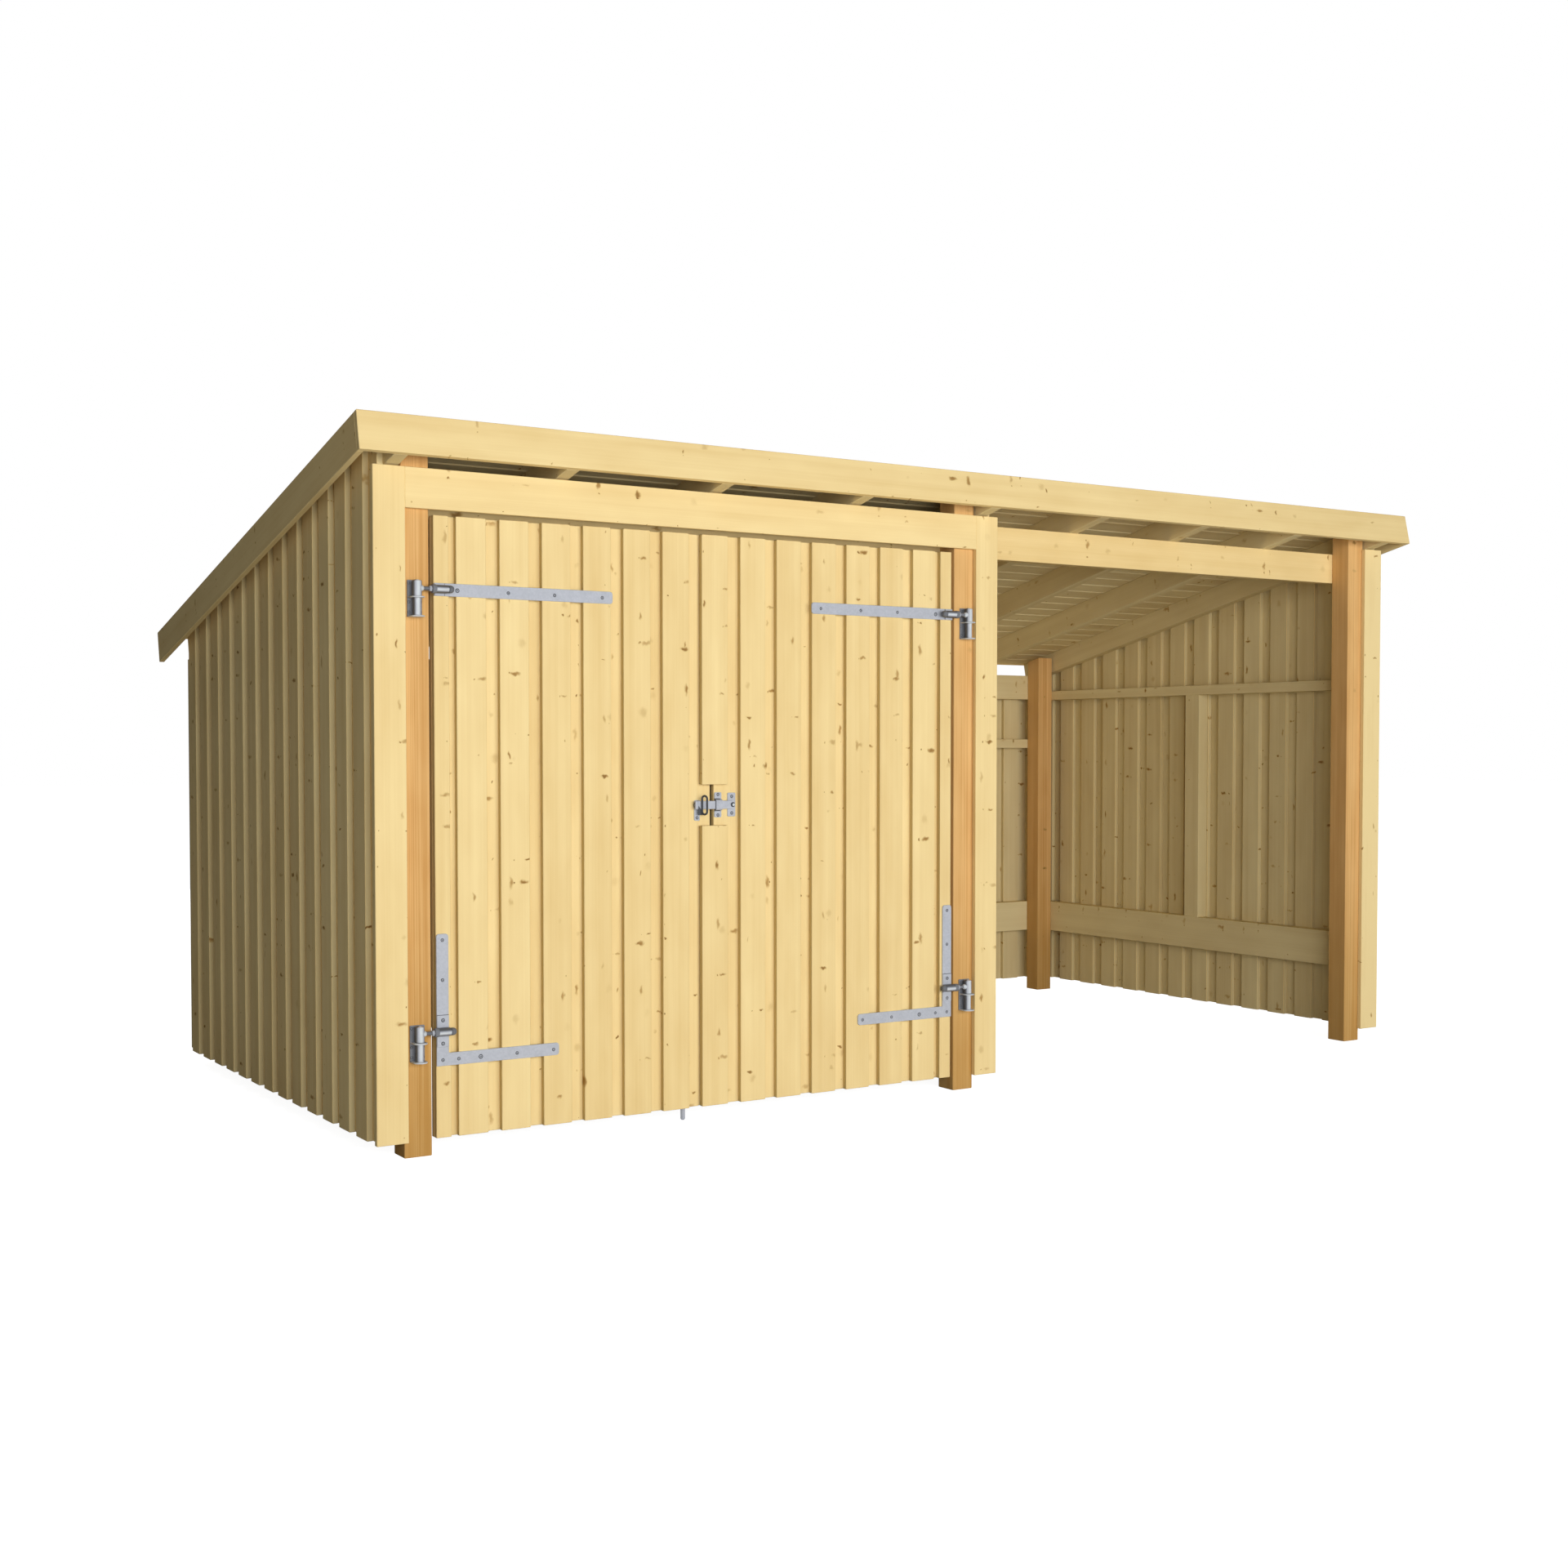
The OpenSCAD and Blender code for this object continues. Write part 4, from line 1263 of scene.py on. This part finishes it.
class SHED_OT_latch(bpy.types.Operator):
    """Latch bar with its bridge, knob and loop, and the keeper on the left door"""

    bl_idname = "shed.latch"
    bl_label = "Latch"

    def execute(self, context):
        low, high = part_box("latch_bar")
        middle = Vector((high.x - LATCH_RIGHT, high.y, (low.z + high.z) / 2))
        bar = Shape("latch_irons")

        def at(x, z, out):
            return middle + Vector((x, -out, z))

        self.plates(bar, at)
        self.bar(bar, at)
        self.loop(bar, at)
        bar.piece(galvanised(), "right_door", "zinc_steel", "latch_bar", smooth=True)
        self.keeper()
        return {"FINISHED"}

    def plates(self, shape, at):
        """Plates of the knob and of the bridge with their screws, the knob and the bridge."""
        thick = metal().latch_thick
        plate(shape, at, rounded((0.059, -0.041), (LATCH_RIGHT, 0.041), 0.005), thick)
        plate(shape, at, rounded((0.007, -0.043), (0.035, 0.043), 0.005), thick)
        for x, z in LATCH_SCREWS:
            screw(shape, shifted(at, x, z, thick), LATCH_SCREW)
        # Painted shade on the knob, painted highlight on its dome
        lathe(shape, shifted(at, 0.075), KNOB, tone=0.05)
        lathe(shape, shifted(at, 0.0775), KNOB_DOME, tone=0.95)
        bridge = BRIDGE + [(-a, b) for a, b in reversed(BRIDGE)]
        plate(shape, lambda a, b, c: at(0.0082 + c, a, b), bridge, 0.0263)
        # Painted shade: a thin dark plate down the bridge's side
        plate(shape, lambda a, b, c: at(0.0068 + c, a, b), bridge, 0.0014, bevel=0.0001, tone=0.12)
        # Painted shadow: dark marks at the ends of the bridge's hump
        for z in (0.0165, -0.0215):
            corner = rounded((0.0085, z), (0.0295, z + 0.005), 0.002)
            plate(shape, shifted(at, third=thick), corner, 0.003, tone=0.02)

    def bar(self, shape, at):
        """Bar on both sides of the bridge, a rim round its end that is dark with painted shade,
        a dark patch of painted shadow under that, and the knuckle at its end.
        """
        plate(shape, shifted(at, third=0.003), rounded((0.034, -0.014), (0.0755, 0.014), 0.001), 0.009)
        end = rounded((-0.0758, -0.014), (0.008, 0.014), (0.0138, 0.0, 0.0, 0.0138), 8)
        plate(shape, shifted(at, third=0.008), end, 0.004)
        # Painted shade: a dark plate round the bar's end
        rim = rounded((-0.0772, -0.0145), (-0.050, 0.0145), (0.0142, 0.0, 0.0, 0.0142), 8)
        plate(shape, shifted(at, third=0.0072), rim, 0.003, tone=0.03)
        # Painted shadow: a dark patch under the bar's end
        plate(shape, shifted(at, third=0.0122), PAINTED_SHADOW_PATCH, 0.001, bevel=0.0002, tone=0.08)
        lathe(shape, lambda a, b, c: at(-0.070 + a, c, 0.014 + b), KNUCKLE)

    def loop(self, shape, at):
        """Loop of wire at a lean, darkened with painted shade."""
        path = []
        for turn in range(0, 360, 12):
            t = math.radians(turn)
            out = LOOP_BEND * math.cos(t)
            z = (LOOP_HALF if turn < 180 else -LOOP_HALF) + LOOP_BEND * math.sin(t)
            path.append(at(LOOP_X + out * math.sin(LOOP_LEAN), z, LOOP_OUT + out * math.cos(LOOP_LEAN)))
        # Painted shade darkens the wire
        tube(shape, path, LOOP_WIRE, tone=0.05)

    def keeper(self):
        """Plate on the left door that the latch closes on."""
        low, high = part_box("latch_keeper")
        size = high - low
        thick = metal().latch_thick
        shape = Shape("keeper_irons")

        def at(a, b, c):
            return Vector((low.x + a, high.y - c, low.z + b))

        plate(shape, at, rounded((0, 0), (size.x, size.z), 0.005), size.y)
        screw(shape, shifted(at, size.x / 2, 0.010, thick), LATCH_SCREW)
        shape.piece(galvanised(), "left_door", "zinc_steel", "latch_keeper", smooth=True)


class SHED_OT_drop_bolt(bpy.types.Operator):
    """Drop bolt inside the left door and its guides"""

    bl_idname = "shed.drop_bolt"
    bl_label = "Drop bolt"

    def execute(self, context):
        low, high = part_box("drop_bolt")
        r = metal().bolt_radius
        middle = Vector(((low.x + high.x) / 2, low.y + r, 0))
        self.bolt(middle, low.z, high, r)
        self.guides(middle.x, r)
        return {"FINISHED"}

    def bolt(self, middle, foot, high, r):
        """Round bolt with a handle."""
        shape = Shape("bolt_irons")
        rod = [(r - 0.003, foot), (r, foot + 0.004), (r, high.z - 0.002), (r - 0.002, high.z)]
        lathe(shape, lambda a, b, c: middle + Vector((a, b, c)), rod)
        handle = high.z - 0.060
        reach = high.y - middle.y
        grip = [(0.006, 0.0), (0.006, reach - 0.009), (0.0068, reach - 0.008), (0.0068, reach - 0.003)]
        grip.append((0.005, reach))
        lathe(shape, lambda a, b, c: middle + Vector((a, c, handle + b)), grip)
        shape.piece(galvanised(), "drop_bolt", "zinc_steel", "drop_bolt", smooth=True)

    def guides(self, x, r):
        """Plates on the door with a strap over the bolt."""
        node = "drop_bolt_guides"
        low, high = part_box(node)
        half = (high.x - low.x) / 2
        tall = spans(node, Y, Z)[0][1] - low.z
        thick = metal().guide_thick
        foot, axis = 0.002, 0.0112
        outer, inner = high.y - low.y - 0.0115, r + 0.0018
        arc = [math.radians(t) for t in range(0, 181, 15)]
        strap = [(outer, foot)]
        strap += [(outer * math.cos(t), axis + outer * math.sin(t)) for t in arc]
        strap += [(-outer, foot), (-inner, foot)]
        strap += [(-inner * math.cos(t), axis + inner * math.sin(t)) for t in arc]
        strap.append((inner, foot))
        shape = Shape("guide_irons")
        for bottom, _ in spans(node, -Y, Z):

            def at(a, b, c, bottom=bottom):
                return Vector((x + a, low.y + c, bottom + b))

            plate(shape, at, rounded((-half, 0), (half, tall), 0.004), thick)
            plate(shape, lambda a, b, c: at(a, 0.004 + c, b), strap, tall - 0.008)
            for side in (-0.0175, 0.0175):
                screw(shape, shifted(at, side, tall / 2, thick), 0.003)
        shape.piece(galvanised(), "left_door", "zinc_steel", node, smooth=True)


class SHED_OT_stage(bpy.types.Operator):
    """Camera, pale floor and soft light"""

    bl_idname = "shed.stage"
    bl_label = "Stage"

    def execute(self, context):
        stage = context.scene.shed_stage
        context.scene.camera = self.camera(stage)
        self.floor(stage)
        context.scene.world = self.sky(stage)
        for name in ("front", "side", "back"):
            self.lamp(stage, name)
        self.top_lamp(stage)
        context.scene.view_settings.view_transform = "Standard"
        return {"FINISHED"}

    def camera(self, stage):
        """The camera at the photograph's viewing angle."""
        data = bpy.data.cameras.new("camera")
        data.sensor_width = stage.sensor
        data.lens = stage.lens
        data.shift_x = stage.shift_x
        data.shift_y = stage.shift_y
        made = show("camera", data)
        made.location = stage.eye
        made.rotation_euler = (math.pi / 2 - stage.pitch, 0.0, -stage.yaw)
        return made

    def lamp(self, stage, name):
        """A large soft light that looks at the shed."""
        data = bpy.data.lights.new(name + "_light", "AREA")
        data.shape = "RECTANGLE"
        data.size = getattr(stage, name + "_wide")
        data.size_y = stage.light_high
        data.energy = getattr(stage, name)
        made = show(name + "_light", data)
        made.location = getattr(stage, name + "_place")
        aim = Vector((made.location.x / 2, 0, stage.aim_high))
        made.rotation_euler = (aim - made.location).to_track_quat("-Z", "Y").to_euler()
        made.visible_camera = False
        made.visible_glossy = name != "front"

    def top_lamp(self, stage):
        """An even soft light from above."""
        data = bpy.data.lights.new("top_light", "SUN")
        data.energy = stage.top
        data.angle = stage.top_spread
        show("top_light", data)

    def seen(self, tree):
        """1 for what the camera sees, straight on or in metal or glass."""
        path = add_node(tree, "ShaderNodeLightPath").outputs
        either = calc(tree, "MAXIMUM", path["Is Camera Ray"], path["Is Glossy Ray"])
        return calc(tree, "MAXIMUM", either, path["Is Transmission Ray"])

    def floor(self, stage):
        """A pale floor that shows white with the shed's soft shadow."""
        far = stage.floor_reach
        mesh = bpy.data.meshes.new("floor")
        points = [(-far, -far, 0), (far, -far, 0), (far, far, 0), (-far, far, 0)]
        mesh.from_pydata(points, [], [(0, 1, 2, 3)])
        made = show("floor", mesh)
        made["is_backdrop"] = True
        finish = bpy.data.materials.new("pale_floor")
        tree = bare_tree(finish)
        pale = add_node(tree, "ShaderNodeBsdfDiffuse", {"Color": (*[stage.floor_tone] * 3, 1)})
        faint = add_node(tree, "ShaderNodeBsdfDiffuse", {"Color": (*[stage.floor_shadow] * 3, 1)})
        strength = 1.0 - stage.floor_shadow * stage.top / math.pi
        white = add_node(tree, "ShaderNodeEmission", {"Strength": strength})
        shown = add_node(tree, "ShaderNodeAddShader", {0: faint.outputs[0], 1: white.outputs[0]})
        sockets = {0: self.seen(tree), 1: pale.outputs[0], 2: shown.outputs[0]}
        mixed = add_node(tree, "ShaderNodeMixShader", sockets)
        add_node(tree, "ShaderNodeOutputMaterial", {"Surface": mixed.outputs[0]})
        finish.cycles.emission_sampling = "NONE"
        mesh.materials.append(finish)

    def sky(self, stage):
        """White where it is seen, and a weak even light for the rest."""
        world = bpy.data.worlds.new("studio")
        tree = bare_tree(world)
        white = add_node(tree, "ShaderNodeBackground", {"Strength": 1.0, "Color": (1, 1, 1, 1)})
        weak = add_node(tree, "ShaderNodeBackground", {"Strength": stage.sky, "Color": (1, 1, 1, 1)})
        sockets = {0: self.seen(tree), 1: weak.outputs[0], 2: white.outputs[0]}
        mixed = add_node(tree, "ShaderNodeMixShader", sockets)
        add_node(tree, "ShaderNodeOutputWorld", {"Surface": mixed.outputs[0]})
        return world


OPERATORS = (
    SHED_OT_posts,
    SHED_OT_beams,
    SHED_OT_roof_timber,
    SHED_OT_felt,
    SHED_OT_roof_edges,
    SHED_OT_wall_frames,
    SHED_OT_cladding,
    SHED_OT_corner_boards,
    SHED_OT_doors,
    SHED_OT_hinges,
    SHED_OT_latch,
    SHED_OT_drop_bolt,
    SHED_OT_stage,
)


class SHED_PT_panel(bpy.types.Panel):
    """Pieces of the shed and their settings"""

    bl_idname = "SHED_PT_panel"
    bl_label = "Garden Shed"
    bl_space_type = "VIEW_3D"
    bl_region_type = "UI"
    bl_category = "Shed"

    def draw(self, context):
        for kind in OPERATORS:
            self.layout.operator(kind.bl_idname)
        for name, kind in SETTINGS.items():
            box = self.layout.box()
            box.label(text=kind.__doc__)
            for field in kind.__annotations__:
                box.prop(getattr(context.scene, name), field)


def register():
    for name, kind in SETTINGS.items():
        bpy.utils.register_class(kind)
        setattr(bpy.types.Scene, name, PointerProperty(type=kind))
    for kind in (*OPERATORS, SHED_PT_panel):
        bpy.utils.register_class(kind)


def unregister():
    for kind in (SHED_PT_panel, *reversed(OPERATORS)):
        bpy.utils.unregister_class(kind)
    for name, kind in reversed(SETTINGS.items()):
        delattr(bpy.types.Scene, name)
        bpy.utils.unregister_class(kind)


def main():
    """Makes every piece in order and works out the boxes of the CAD model and of the visual model."""
    register()
    for kind in OPERATORS:
        group, name = kind.bl_idname.split(".")
        getattr(getattr(bpy.ops, group), name)()
    boxes = {"cad": CAD_BOUNDS, "visual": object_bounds()}
    {name: [list(corner) for corner in box] for name, box in boxes.items()}


if __name__ == "__main__":
    main()
